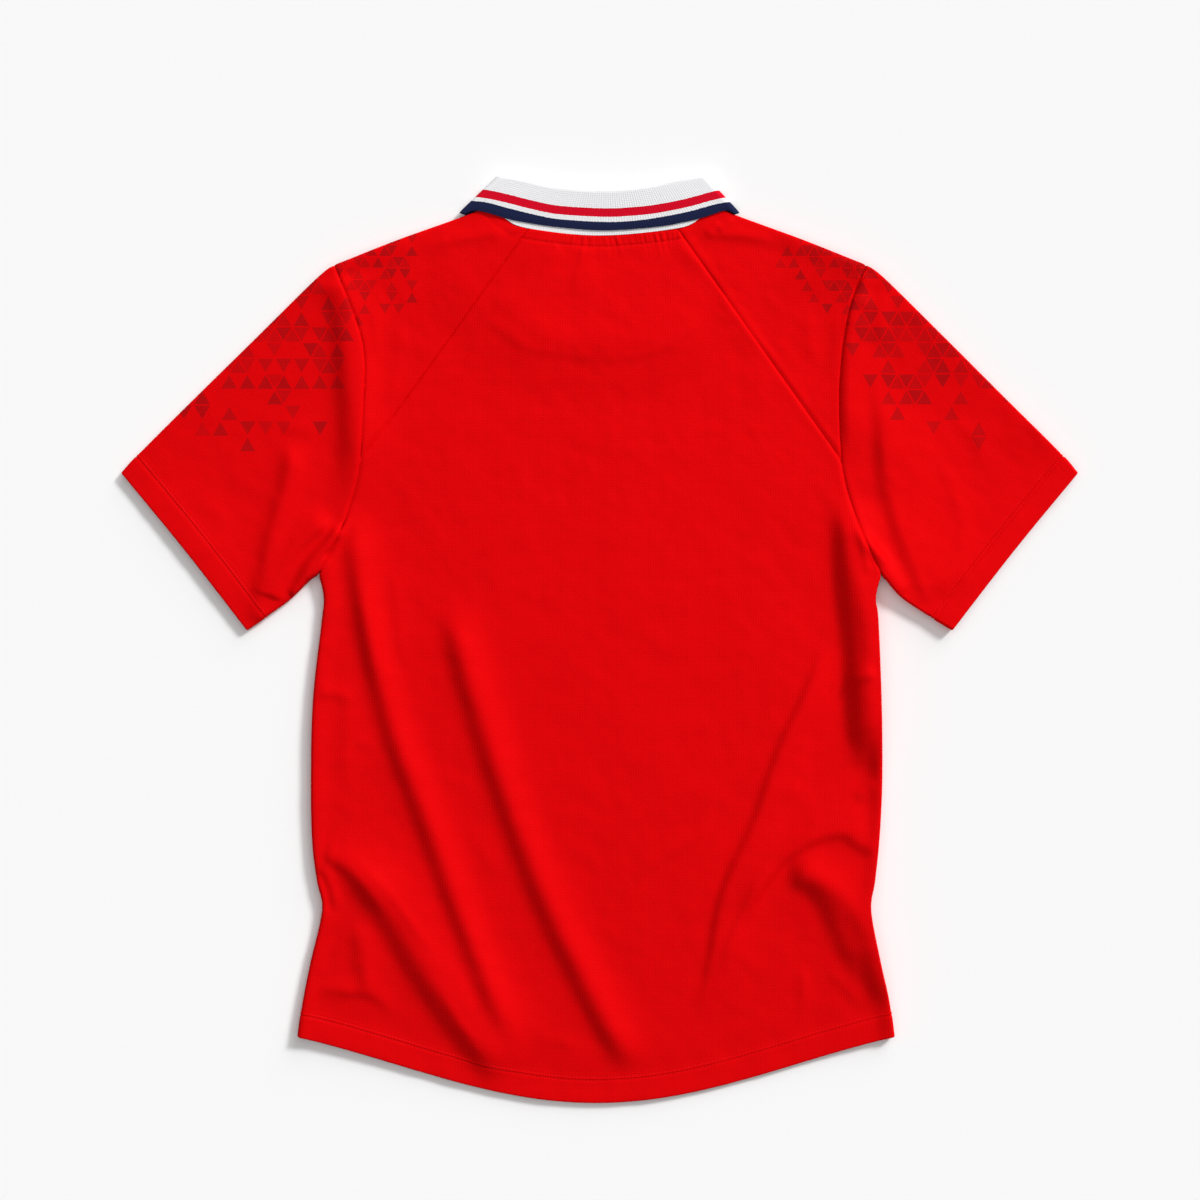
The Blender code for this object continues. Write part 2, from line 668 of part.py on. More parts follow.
def back_panel():
    """Make the back, from the hem to the back neckline."""
    side = CUTS["left"].side_seam.length
    side_steps = hem_steps(side)
    reach = CUTS["left"].diagonal.length
    neck_steps = diagonal_steps(reach, PUCKER_ROWS[0])[-2:1:-1] + list(PUCKER_ROWS)
    diagonals = (CUTS["left"].diagonal, CUTS["right"].diagonal)
    plan, from_hem = panel_plan(BACK_HEM, NECKLINE, diagonals, side_steps,
                                arm_stations(SIDE_ROLL, 5), neck_steps,
                                near_fold(SIDE_ROLL, (6.0, 15.0)), COLUMNS)
    middle, out = upper_layer(plan)
    gathers = np.zeros(plan.shape[:2])
    for row, height in zip(range(-len(PUCKER_ROWS), 0), PUCKER_HEIGHTS):
        gathers[row, 1:-1] = height * (-1.0) ** np.arange(COLUMNS - 1)
    middle = middle + out * gathers[..., None]
    middle = trimmed(middle, last_row=True, first_column=True, last_column=True)
    outside = CLOTH / 2 + band_wall(from_hem)[:, None]
    wall("back_panel", middle, out, outside, CLOTH / 2, BODY_LOOK)


def front_panel():
    """Make the front, which lies on the surface below the back."""
    roll = FOLD_LEVEL - LYING
    side = CUTS["left"].side_seam.length
    side_steps = hem_steps(side)
    side_steps[-1:] = [side - UNDERARM_TURN, side]
    diagonals = (CUTS["left"].front_diagonal, CUTS["right"].front_diagonal)
    reach = diagonals[0].length
    neck_steps = diagonal_steps(reach, reach / 10)[-2::-1]
    left, right = (CUTS[name].front_neck.cut(CUTS[name].front_neck_share, 0.0)
                   for name in ("left", "right"))
    neckline = Path(np.vstack([left.points, right.points[::-1][1:]]))
    plan, from_hem = panel_plan(FRONT_HEM, neckline, diagonals, side_steps,
                                arm_stations(roll, 3), neck_steps, near_fold(roll), COLUMNS // 2)
    middle, out = lower_layer(plan)
    middle = trimmed(middle, last_row=True, first_column=True, last_column=True)
    inside = CLOTH / 2 + band_wall(from_hem)[:, None]
    wall("front_panel", middle, out, CLOTH / 2, inside, BODY_LOOK)


def shoulder_half(cut, seam, first, neck, layer_of, roll_of, steps):
    """Return one layer of a shoulder panel, from its folded edge to its diagonal seam."""
    along = np.array(diagonal_steps(seam.length, first)) / seam.length
    shared = np.array(diagonal_steps(cut.diagonal.length, PUCKER_ROWS[0])) / cut.diagonal.length
    fold, far = cut.shoulder.at(shared), seam.at(1.0 - along)
    lengths = np.linalg.norm(far - fold, axis=1)
    rolls = roll_of(fold)
    shares = []
    for length, roll in zip(lengths, rolls):
        near = np.array(near_fold(roll))
        shares.append(np.concatenate([near, np.linspace(near[-1], length, steps + 1)[1:]]) / length)
    arm = cut.armhole.cut(1.0, cut.junction)
    plan = patch(fold, far, neck, arm, np.array(shares), 1.0 - along, along)
    plan[-1] = arm.at(np.array(shares)[-1])
    return layer_of(plan)


def shoulder_panel(side):
    """Make the panel between a diagonal seam and an armhole, over the shoulder fold."""
    cut = CUTS[side]
    front_neck = cut.front_neck.cut(1.0, cut.front_neck_share)
    upper, upper_out = shoulder_half(cut, cut.diagonal, PUCKER_ROWS[0], SIDE_NECKS[side],
                                     upper_layer, roll_radius, 5)
    lower, lower_out = shoulder_half(cut, cut.front_diagonal, cut.front_diagonal.length / 10,
                                     front_neck, lower_layer, lower_roll, 5)
    middle = np.concatenate([upper[:, ::-1], lower[:, 1:]], axis=1)
    out = np.concatenate([upper_out[:, ::-1], lower_out[:, 1:]], axis=1)
    middle = trimmed(middle, True, True, True, True)
    wall("shoulder_panel_" + side, middle, out, CLOTH / 2, CLOTH / 2, BODY_LOOK)


def sleeve_half(cut, layer_of, roll, cap_steps, under_steps):
    """Return one layer of a sleeve, from armhole to cuff, with the distances to the cuff."""
    total = cut.armhole.length
    cap = total * (1.0 - cut.junction)
    from_top = np.concatenate([near_fold(roll), np.linspace(roll, cap, cap_steps + 1)[1:]])
    from_bottom = np.array(arm_stations(roll, under_steps))[:-1][::-1]
    stations = np.concatenate([from_top, total - from_bottom, [total]])
    cuff_share = np.array([0.0, 0.05, 0.11, 0.2, 0.32, 0.46, 0.6, 0.75, 0.9])
    rows = []
    reaches = np.linspace(0.0, 1.0, 25)
    lengths = np.linalg.norm(cut.cuff.at(reaches) - cut.armhole.at(1.0 - reaches), axis=1)
    for row in range(len(cuff_share) + 3):
        spans = []
        for station in stations:
            length = np.interp(station / total, reaches, lengths)
            body = 1.0 - (HEM_BAND + HEM_STEP) / length
            tail = (body, 1.0 - HEM_BAND / length, 1.0)
            late = row - len(cuff_share)
            spans.append(tail[late] if late >= 0 else body * cuff_share[row])
        rows.append(spans)
    rows = np.array(rows)
    width = total + (cut.cuff.length - total) * rows
    held = len(ROLL_SHARES)
    shares = np.broadcast_to(stations / total, rows.shape).copy()
    shares[:, :held] = stations[:held] / width[:, :held]
    shares[:, -held:] = 1.0 - (total - stations[-held:]) / width[:, -held:]
    arm, cuff = cut.armhole.at(1.0 - shares), cut.cuff.at(shares)
    plan = arm * (1.0 - rows[..., None]) + cuff * rows[..., None]
    top, bottom = cut.sleeve_top, cut.underarm
    for path, weight in ((top, 1.0 - shares), (bottom, shares)):
        straight = path.at(0.0) + (path.at(1.0) - path.at(0.0)) * rows[..., None]
        plan = plan + (path.at(rows) - straight) * weight[..., None]
    to_cuff = (1.0 - rows) * np.interp(stations / total, reaches, lengths)
    return layer_of(plan) + (to_cuff,)


def sleeve(side):
    """Make a sleeve: a tube that lies flat, folded at its top and at the underarm."""
    cut = CUTS[side]
    upper, upper_out, upper_reach = sleeve_half(cut, upper_layer, SIDE_ROLL, 5, 5)
    lower, lower_out, lower_reach = sleeve_half(cut, lower_layer, FOLD_LEVEL - LYING, 5, 3)
    middle = np.concatenate([upper, lower[:, -2:0:-1]], axis=1)
    out = np.concatenate([upper_out, lower_out[:, -2:0:-1]], axis=1)
    reach = np.concatenate([upper_reach, lower_reach[:, -2:0:-1]], axis=1)
    band = band_wall(reach)
    upper_side = np.arange(middle.shape[1]) < upper.shape[1]
    outside = CLOTH / 2 + np.where(upper_side, band, 0.0)
    inside = CLOTH / 2 + np.where(upper_side, 0.0, band)
    middle = trimmed(middle, first_row=True)
    wall("sleeve_" + side, middle, out, outside, inside, BODY_LOOK, ring=True)


# ---------------------------------------------------------------- the collar
Guide = namedtuple("Guide", "back front_left front_right out")


def collar_guide(table, middle, front_y, end_gap, out_angle):
    """Return the ring of one edge of the collar, as its back and its two front halves."""
    fronts = []
    for side in ("left", "right"):
        half = abs(getattr(table[0], side))
        curve = front_curve(front_y, half, table[0].y, end_gap)
        fronts.append(Path(curve.points * ((1.0, 1.0) if side == "left" else (-1.0, 1.0))))
    angle = math.radians(out_angle)
    return Guide(both_sides(table, middle), fronts[0], fronts[1],
                 np.array([math.cos(angle), math.sin(angle)]))


def collar_stations():
    """Return where the collar's ring is cut: stretch, share of it and turn of the crease."""
    flat, turn = math.radians(90), math.radians(45)
    stations = [("front_left", share, -flat) for share in (0.0, 0.14, 0.3, 0.45, 0.6, 0.74, 0.86)]
    stations += [("left", 0.0, angle) for angle in (-flat, -turn, 0.0, turn, flat)]
    stations += [("back", share, flat) for share in np.linspace(0.0, 1.0, 19)[1:-1]]
    stations += [("right", 1.0, angle) for angle in (flat, turn, 0.0, -turn, -flat)]
    stations += [("front_right", share, -flat)
                 for share in (0.86, 0.74, 0.6, 0.45, 0.3, 0.14, 0.0)]
    return stations


def guide_point(guide, stretch, share):
    """Return the plan point of a guide and its outward way at a station."""
    if stretch == "front_left":
        return guide.front_left.at(share), np.zeros(2)
    if stretch == "front_right":
        return guide.front_right.at(share), np.zeros(2)
    sign = {"left": -1.0, "back": 0.0, "right": 1.0}[stretch]
    return guide.back.at(share), guide.out * (sign, abs(sign))


def collar():
    """Make the collar: a hairpin of stand, fold and leaf, carried round the neck."""
    tip = STAND_TURN / WHOLE_NECKLINE.length
    ends = WHOLE_NECKLINE.at(0.0) - WHOLE_NECKLINE.at(tip)
    seam = collar_guide(BACK_NECK, (0.0, NECK_BACK_Y), NECK_FRONT_Y, COLLAR_END,
                        180.0 - math.degrees(math.atan2(ends[1], ends[0])))
    seam = seam._replace(back=WHOLE_NECKLINE.cut(tip, 1.0 - tip))
    top = collar_guide(COLLAR_TOP, (2.0, COLLAR_TOP_BACK_Y), FRONT_FOLD_Y, COLLAR_END,
                       CREASE_OUT_TOP)
    edge = collar_guide(LEAF_EDGE, (4.0, LEAF_EDGE_BACK_Y), FRONT_LEAF_Y, COLLAR_POINT,
                        CREASE_OUT_LEAF)
    middle, out = [], []
    for stretch, share, angle in collar_stations():
        seam_at, seam_out = guide_point(seam, stretch, share)
        top_at, top_out = guide_point(top, stretch, share)
        edge_at, edge_out = guide_point(edge, stretch, share)
        up = (top_at - seam_at) / np.linalg.norm(top_at - seam_at)
        sag = float(collar_sag(top_at[0])) if stretch == "back" else 0.0
        loft = COLLAR_LOFT * sag / COLLAR_SAG
        turn_r = (LEAF_TURN + loft - STAND_TURN) / 2
        section = []
        for part in (0.0, 1 / 3, 2 / 3, 1.0):
            section.append((seam_at + (top_at - seam_at) * part,
                            seam_out + (top_out - seam_out) * part, STAND_TURN, -1.0, 0.0))
        for bend in (45, 90, 135):
            cos, sin = math.cos(math.radians(bend)), math.sin(math.radians(bend))
            section.append((top_at + up * turn_r * sin, top_out,
                            STAND_TURN + turn_r * (1 - cos), -cos, sin))
        for part in (0.0, 0.25, 0.5, 0.75, 1.0):
            section.append((top_at + (edge_at - top_at) * part,
                            top_out + (edge_out - top_out) * part,
                            LEAF_TURN + loft * (1 - part) ** 2, 1.0, 0.0))
        points, ways = [], []
        for plan, outward, radius, across, along in section:
            flat = outward * math.cos(angle)
            ray = np.array([flat[0], flat[1], math.sin(angle)])
            base = np.array([plan[0], plan[1], FOLD_LEVEL - sag])
            points.append(base + ray * radius)
            way = ray * across + np.array([up[0], up[1], 0.0]) * along
            ways.append(way / np.linalg.norm(way))
        middle.append(points)
        out.append(ways)
    middle = trimmed(np.array(middle), first_column=True)
    wall("collar", middle, np.array(out), RIB / 2, RIB / 2, COLLAR_LOOK)


# ---------------------------------------------------------------- build
for old in list(bpy.data.objects):
    bpy.data.objects.remove(old, do_unlink=True)
PARTS = bpy.data.collections.new("football jersey")
bpy.context.scene.collection.children.link(PARTS)

front_panel()
back_panel()
for wearer_side in ("left", "right"):
    shoulder_panel(wearer_side)
    sleeve(wearer_side)
collar()
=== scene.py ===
"""Football jersey, laid flat with its back up: the finished cloth, its sewing and its stage.

Every CAD solid is replaced by a finer shell of cloth on the same form. The sizes of the cut are
those of the part, in millimetres, and become metres when a mesh is made. +X is to the right, +Y
towards the collar and +Z up. Left and right are the wearer's: the wearer's left is at -X.
"""
from collections import namedtuple
import math

import bmesh
import bpy
from bpy.props import FloatProperty, FloatVectorProperty, PointerProperty
import numpy as np
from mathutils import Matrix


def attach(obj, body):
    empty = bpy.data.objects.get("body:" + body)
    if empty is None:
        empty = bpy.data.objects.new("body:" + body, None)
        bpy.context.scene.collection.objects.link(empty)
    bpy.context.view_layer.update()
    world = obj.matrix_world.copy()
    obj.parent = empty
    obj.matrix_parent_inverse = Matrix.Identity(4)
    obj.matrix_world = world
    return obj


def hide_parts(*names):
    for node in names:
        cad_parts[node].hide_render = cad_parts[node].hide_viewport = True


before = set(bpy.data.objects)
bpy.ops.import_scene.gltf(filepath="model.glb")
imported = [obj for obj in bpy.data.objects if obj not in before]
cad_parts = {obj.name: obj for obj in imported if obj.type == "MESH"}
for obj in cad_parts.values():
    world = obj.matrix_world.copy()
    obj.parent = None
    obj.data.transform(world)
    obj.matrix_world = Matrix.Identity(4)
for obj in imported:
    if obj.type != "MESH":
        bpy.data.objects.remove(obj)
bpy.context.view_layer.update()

bl_info = {
    "name": "Football jersey",
    "version": (1, 0, 0),
    "blender": (4, 5, 0),
    "location": "3D View > Sidebar > Jersey",
    "description": "Dresses a football jersey that lies flat: cloth, collar, sewing and stage",
    "category": "Object",
}

# ---------------------------------------------------------------- sizes of the cut (mm)
MM = 0.001              # metres
CLOTH = 1.25            # wall of the body cloth
RIB = 1.8               # wall of the flat-knit collar
SEAM_GAP = 0.3          # between layers that lie on each other
SEAM_DRAW = 0.02        # how far a piece's edge is drawn back from its seam
LEAF_GAP = 0.8          # between the collar's stand and its leaf
HEM_BAND = 21.0         # depth of the turned hem and cuffs
HEM_STEP = 1.5          # length over which the turned layer ends
HEM_EXTRA = 0.5         # what the turned layer adds to the wall
HEM_COVER = 36.0        # how far the back rides on the front's turned hem

STAND_TURN = (RIB + SEAM_GAP) / 2                 # radius of the stand at a side crease
LEAF_TURN = STAND_TURN + RIB + LEAF_GAP           # radius of the leaf round the stand
FOLD_LEVEL = LEAF_TURN + RIB / 2                  # height of the middle of every folded edge
SIDE_ROLL = 5.0                                   # height of the body's rolled edges
ROLL_WIDTH = 2.0                                  # how far in they turn down: a pressed fold
ROLL_WIDTH_RIGHT = 0.8                            # the same on the right, pressed flatter
ROLL_SHARES = tuple(1 - math.cos(math.radians(turn)) for turn in (0, 18, 36, 54, 72, 90))
LIP_SPREAD = 48.0                                 # how far in the raised edges are felt
LIP_CALM = 0.5                                    # how much a raised edge quiets the folds
LYING = CLOTH / 2                                 # middle of cloth that lies on the surface

HEM_DROP_BACK = 57.0                              # curved tail, below its corners
HEM_DROP_FRONT = 45.0                             # the front's, which is cut shorter
HEM_BEND_REACH = 330.0                            # how far up rows follow the hem's curve
HEM_TIP = 0.3                                     # share of the hem's drop in its middle swell
JUNCTION_Y = 149.0                                # where diagonal seam and armhole meet
FRONT_SEAM_Y = 318.0                              # where it meets the front neckline
CUFF_BOW = 1.5                                    # how far the cuff edge curves in
CUFF_LIFT = 4.2                                   # gape of the sleeve's mouth
CUFF_REACH = 60.0                                 # how far up the sleeve it is felt

NECK_BACK = (0.0, 347.0)                          # middle of the back neckline
NECK_FRONT_Y, FRONT_FOLD_Y, FRONT_LEAF_Y = 265.0, 293.0, 239.0   # front: neck, fold, leaf's edge
NECK_HALF, FOLD_HALF, LEAF_HALF = 96.0, 84.0, 118.0              # half widths of the same
NECK_ROUNDNESS = 2.3                              # exponent of the front neck's curve
COLLAR_SAG = 1.6                                  # how far the back collar sinks
COLLAR_SAG_HALF = 70.0                            # half width of that stretch
COLLAR_LOFT = 1.3                                 # fullness of its top fold
COLLAR_END = 1.5                                  # half gap of the ends at centre front
COLLAR_POINT = 9.0                                # half gap of the ends at the leaf's edge
LEAF_SLOPE = 22.0                                 # how far the front runs down beside the leaf
BACK_SLOPE = 48.0                                 # the same for the back, which spans more
UNDERARM_TURN = 6.0                               # reach of the shared way out at the underarm
NECK_FLAT = 30.0                                  # thin stretch of shoulder under the leaf
NECK_GROWTH = 80.0                                # over which the shoulder roll fills out
NECK_REACH = 35.0                                 # over which cloth rises to the collar seam
HOLE_SAG = 1.0                                    # back panel over the open front neck
HOLE_START, HOLE_FADE = 0.92, 0.3                 # where it begins, as shares of the front fold
STAND_LIFT = 0.3                                  # cloth over the front stand
STAND_START, STAND_FADE = 1.12, 0.1               # the same, shares of the front neckline

Edge = namedtuple("Edge", "y left right")


def edges(*rows):
    """Return a table of edges: Y, and the left and the right X there."""
    return [Edge(*row) for row in rows]


SIDE_SEAMS = edges(
    (-341.0, -258.4, 252.4), (-310.0, -254.1, 248.1), (-275.6, -247.2, 240.4),
    (-232.0, -237.6, 232.4), (-206.8, -242.1, 235.8), (-172.4, -246.2, 239.5),
    (-120.0, -247.2, 242.1), (-52.0, -245.5, 241.2), (16.8, -237.8, 238.6), (36.0, -236.2, 236.4),
    (57.0, -240.4, 241.2))
ARMHOLES = edges(
    (57.0, -240.4, 241.2), (80.0, -227.7, 229.9), (113.0, -215.4, 217.3),
    (JUNCTION_Y, -206.0, 208.6), (202.0, -202.5, 205.9), (237.0, -201.2, 207.4),
    (262.0, -204.9, 210.3), (292.0, -215.4, 216.6), (321.0, -227.5, 228.3))
SHOULDERS = edges(
    (321.0, -227.5, 228.3), (343.0, -172.0, 173.5), (364.2, -113.0, 116.0), (373.7, -93.0, 96.0))
SLEEVE_TOPS = edges(
    (321.0, -227.5, 228.3), (309.2, -243.0, 244.7), (257.6, -295.4, 297.1), (206.0, -347.9, 348.7),
    (160.0, -394.0, 395.0), (142.3, -410.0, 410.0))
UNDERARMS = edges(
    (57.0, -240.4, 241.2), (51.2, -249.0, 246.4), (34.0, -267.0, 262.7), (8.6, -303.2, 303.2))
BACK_NECK = edges((373.7, -93.0, 96.0), (361.6, -81.3, 86.0), (353.0, -61.5, 66.6))
LEAF_EDGE = edges(
    (365.3, -115.8, 115.6), (367.8, -109.0, 110.5), (367.7, -103.0, 105.5), (364.8, -91.5, 97.0),
    (361.0, -79.0, 85.0), (358.0, -64.0, 71.5), (354.2, -37.5, 49.0))
COLLAR_TOP = edges(
    (395.5, -84.5, 87.5), (392.5, -65.8, 68.0), (387.2, -43.4, 45.0), (384.2, -16.0, 20.0))
LEAF_EDGE_BACK, COLLAR_TOP_BACK = (4.0, 351.2), (2.0, 383.7)     # their middles, at the back
CREASE_OUT = 13.0           # degrees that a side crease's way out is turned up
CREASE_STRETCH = 1.18       # how much further it reaches there than square to the crease
# Runs of the navy stripe's upper edge and of the red stripe's lower edge over the back leaf.
NAVY_TOP = ((-124, 377.5), (-105, 375.9), (-95, 374.5), (-80, 370.4), (-55, 364.3), (-34, 360.6),
            (4, 358.3), (30, 359.3), (52, 362.3), (77, 367.2), (95, 372.2), (107, 374.8),
            (124, 376.9))
RED_FOOT = ((-124, 382.1), (-103, 379.0), (-95, 377.9), (-80, 374.6), (-55, 368.4), (-34, 364.7),
            (4, 362.6), (30, 363.7), (52, 366.2), (77, 371.2), (95, 376.2), (107, 378.9),
            (124, 381.9))
FRONT_BLEND = 15.0          # how far round the collar the front leaf's stripes take to join them
LEAF_CLOSE = 0.7            # how much nearer the stand the leaf comes at its edge
LEAF_THIN = 0.5             # share of its thickness that it loses there
THIN_REACH = 4.0            # how far in from the edge it grows to its full thickness

# What shows of each piece, laid flat: width, length (metres) and area (square metres). The
# width of a sleeve goes all round it, and the collar's runs round its longer edge.
Sheet = namedtuple("Sheet", "width length area")

# Where the hem's edge curls up: how far along, how much, how wide and how far in.
Curl = namedtuple("Curl", "x height half reach")
HEM_CURLS = [Curl(-200.0, 1.8, 70.0, 40.0), Curl(0.0, 1.3, 400.0, 18.0)]

# Raised edges, down the body's sides: the share of the rise that is close to the edge, and how
# wide that inner flank is. The rest of the rise is spread wide.
Lip = namedtuple("Lip", "y left_share left_width right_share right_width")
SIDE_LIPS = [
    Lip(-340.0, 0.45, 9.0, 0.50, 9.0),
    Lip(-250.0, 0.45, 9.0, 0.70, 8.0),
    Lip(-150.0, 0.45, 10.0, 0.60, 8.0),
    Lip(-110.0, 0.45, 10.0, 0.90, 8.0),
    Lip(-60.0, 0.40, 10.0, 1.00, 8.0),
    Lip(20.0, 0.35, 10.0, 1.00, 8.0),
    Lip(80.0, 0.35, 10.0, 1.00, 8.0),
    Lip(130.0, 0.30, 12.0, 0.30, 12.0),
]
SLEEVE_LIP = (0.25, 12.0)                         # the same two, along the sleeves' folds
SLEEVE_SINK = (3.6, 1.8)                          # how much lower these are pressed: left, right
SLEEVE_START, SLEEVE_BLEND = 236.0, 30.0          # from where, off the middle, the lip is theirs
SINK_START, SINK_BLEND = 225.0, 50.0              # and from where they are pressed lower
RIGHT_START, RIGHT_BLEND = 20.0, 60.0             # from where the right's flatter fold holds

# Folds of the back and the sleeves, along their crests. Left and right are the flanks as one
# walks along the crest; the fades are shares of it. The power is that of the right flank: the
# higher, the flatter the crest and the more sudden the drop.
LIT_FLANK = 1.7                                   # the same, for left flanks
Ridge = namedtuple("Ridge", "crest height left right fade_in fade_out power", defaults=(1.7,))
RIDGES = {
    "left_long": Ridge(((-214, 118), (-208.5, 85), (-204, 51), (-199, 16), (-186, -40),
        (-168, -100), (-147.5, -152), (-123, -220), (-100, -280), (-79, -328), (-58, -358)),
        7.4, 12.5, 11, 0.10, 0.14, 2.3),
    "left_long_top": Ridge(((-207, 66), (-203, 40), (-198.5, 14), (-191, -24), (-182, -58)),
        3.2, 8, 7, 0.35, 0.45, 2.2),
    "middle_long": Ridge(((-129, 38), (-114.5, -20), (-96, -80), (-73, -148), (-46.5, -218),
        (-18, -278), (13, -338), (38, -372)), 8.0, 15, 12, 0.12, 0.10, 2.3),
    "left_low": Ridge(((-241, -183), (-228, -187), (-212, -196), (-181, -227), (-153, -272),
        (-123.5, -317), (-94, -354), (-75, -380)), 9.0, 28, 15.5, 0.26, 0.14, 2.6),
    "left_low_top": Ridge(((-239, -184), (-227, -187.5), (-211, -197.5), (-191, -220),
        (-175, -243)), 5.4, 16, 7, 0.10, 0.55, 2.2),
    "right_long": Ridge(((196, 4), (184, -36), (156, -97), (136, -156), (109, -217), (97, -277),
        (85, -340)), 4.0, 20, 5.0, 0.16, 0.25, 2.0),
    "right_arch": Ridge(((124, -246), (134, -218), (150, -194.5), (170, -177.5), (192, -167),
        (211, -165.5), (222, -173), (239, -182)), 4.2, 22, 5.5, 0.30, 0.05, 2.2),
    "right_thread": Ridge(((146, -192), (134, -212), (124, -234), (114, -258), (102, -290)),
        2.0, 8, 4.5, 0.30, 0.30),
    "right_pinch": Ridge(((152, -192), (172, -195), (188, -199), (206, -209), (221, -226),
        (233, -247), (241, -270), (248, -300), (251, -314)), 11.0, 62, 15, 0.60, 0.14, 2.5),
    "right_pinch_foot": Ridge(((159, -197.5), (174, -200.5), (187, -207), (197, -219), (206, -238),
        (215, -258), (226, -280), (237, -300)), 7.0, 15, 11.5, 0.14, 0.34, 2.4),
    "right_side": Ridge(((206, 150), (214, 112), (222, 66), (232, 20), (235, 0), (234, -30),
        (236, -62), (238, -96), (239, -122)), 9.5, 36, 16, 0.48, 0.22, 2.2),
    "right_side_foot": Ridge(((211, 122), (213.5, 80), (215, 55), (218.5, 20), (221, 0),
        (223, -30), (225, -60), (227.5, -90), (231, -116)), 6.4, 26, 9.5, 0.14, 0.20, 2.4),
    "right_knot": Ridge(((238, -30), (226, -31), (212, -38)), 2.4, 5, 6, 0.20, 0.40),
    "right_knot_low": Ridge(((238, -122), (229, -128), (219, -139)), 2.2, 6, 5, 0.20, 0.40),
    "left_waist": Ridge(((-239, -190), (-230, -212), (-222, -238)), 2.4, 5, 5, 0.20, 0.40),
    "left_hip": Ridge(((-207, -240), (-203, -276), (-197, -308)), 3.2, 10, 7, 0.25, 0.25, 2.0),
    "left_corner": Ridge(((-244, -298), (-222, -301), (-196, -304), (-174, -322)),
        2.6, 9, 5, 0.15, 0.35, 2.0),
    "left_cap": Ridge(((-226, 314), (-218, 283), (-214, 245), (-210.5, 205), (-209, 172),
        (-211, 146), (-215, 122), (-222, 98)), 8.2, 22, 13, 0.06, 0.42, 2.3),
    "left_sleeve": Ridge(((-266, 178), (-265, 148), (-271, 120), (-280, 90), (-288, 48),
        (-292, 14)), 4.4, 11, 8.5, 0.18, 0.04, 2.0),
    "left_pit_out": Ridge(((-228, 106), (-246, 92), (-262, 76), (-274, 52), (-280, 34)),
        5.5, 6, 13, 0.20, 0.05, 1.8),
    "left_pit": Ridge(((-220, 98), (-232, 82), (-246, 66), (-258, 44), (-262, 36)),
        7.0, 4.5, 5.5, 0.12, 0.05, 2.0),
    "left_pit_low": Ridge(((-232, 72), (-240, 63), (-250, 50)), 3.5, 5, 4, 0.20, 0.10, 2.0),
    "left_pit_body": Ridge(((-213, 112), (-220, 92), (-230, 66), (-235, 48)),
        1.6, 2.5, 3.5, 0.25, 0.15),
    "right_cap": Ridge(((222, 300), (215, 266), (213, 230), (213, 200), (215, 168), (220, 140)),
        4.2, 21, 5, 0.10, 0.35),
    "right_sleeve": Ridge(((238, 236), (245, 192), (247, 160), (251, 128), (263, 88), (278.5, 48),
        (285, 28)), 5.0, 42, 9.5, 0.36, 0.10, 2.4),
    "right_pit": Ridge(((223, 97), (231, 82), (242, 69), (252, 53), (262, 38)),
        3.4, 7, 6, 0.25, 0.10, 2.0),
    "right_pit_body": Ridge(((220, 100), (226, 78), (231, 54)), 1.8, 3, 4, 0.30, 0.20),
    "right_pit_roof": Ridge(((228, 88), (238, 74), (249, 62)), 2.4, 4, 8, 0.30, 0.30, 2.0),
}
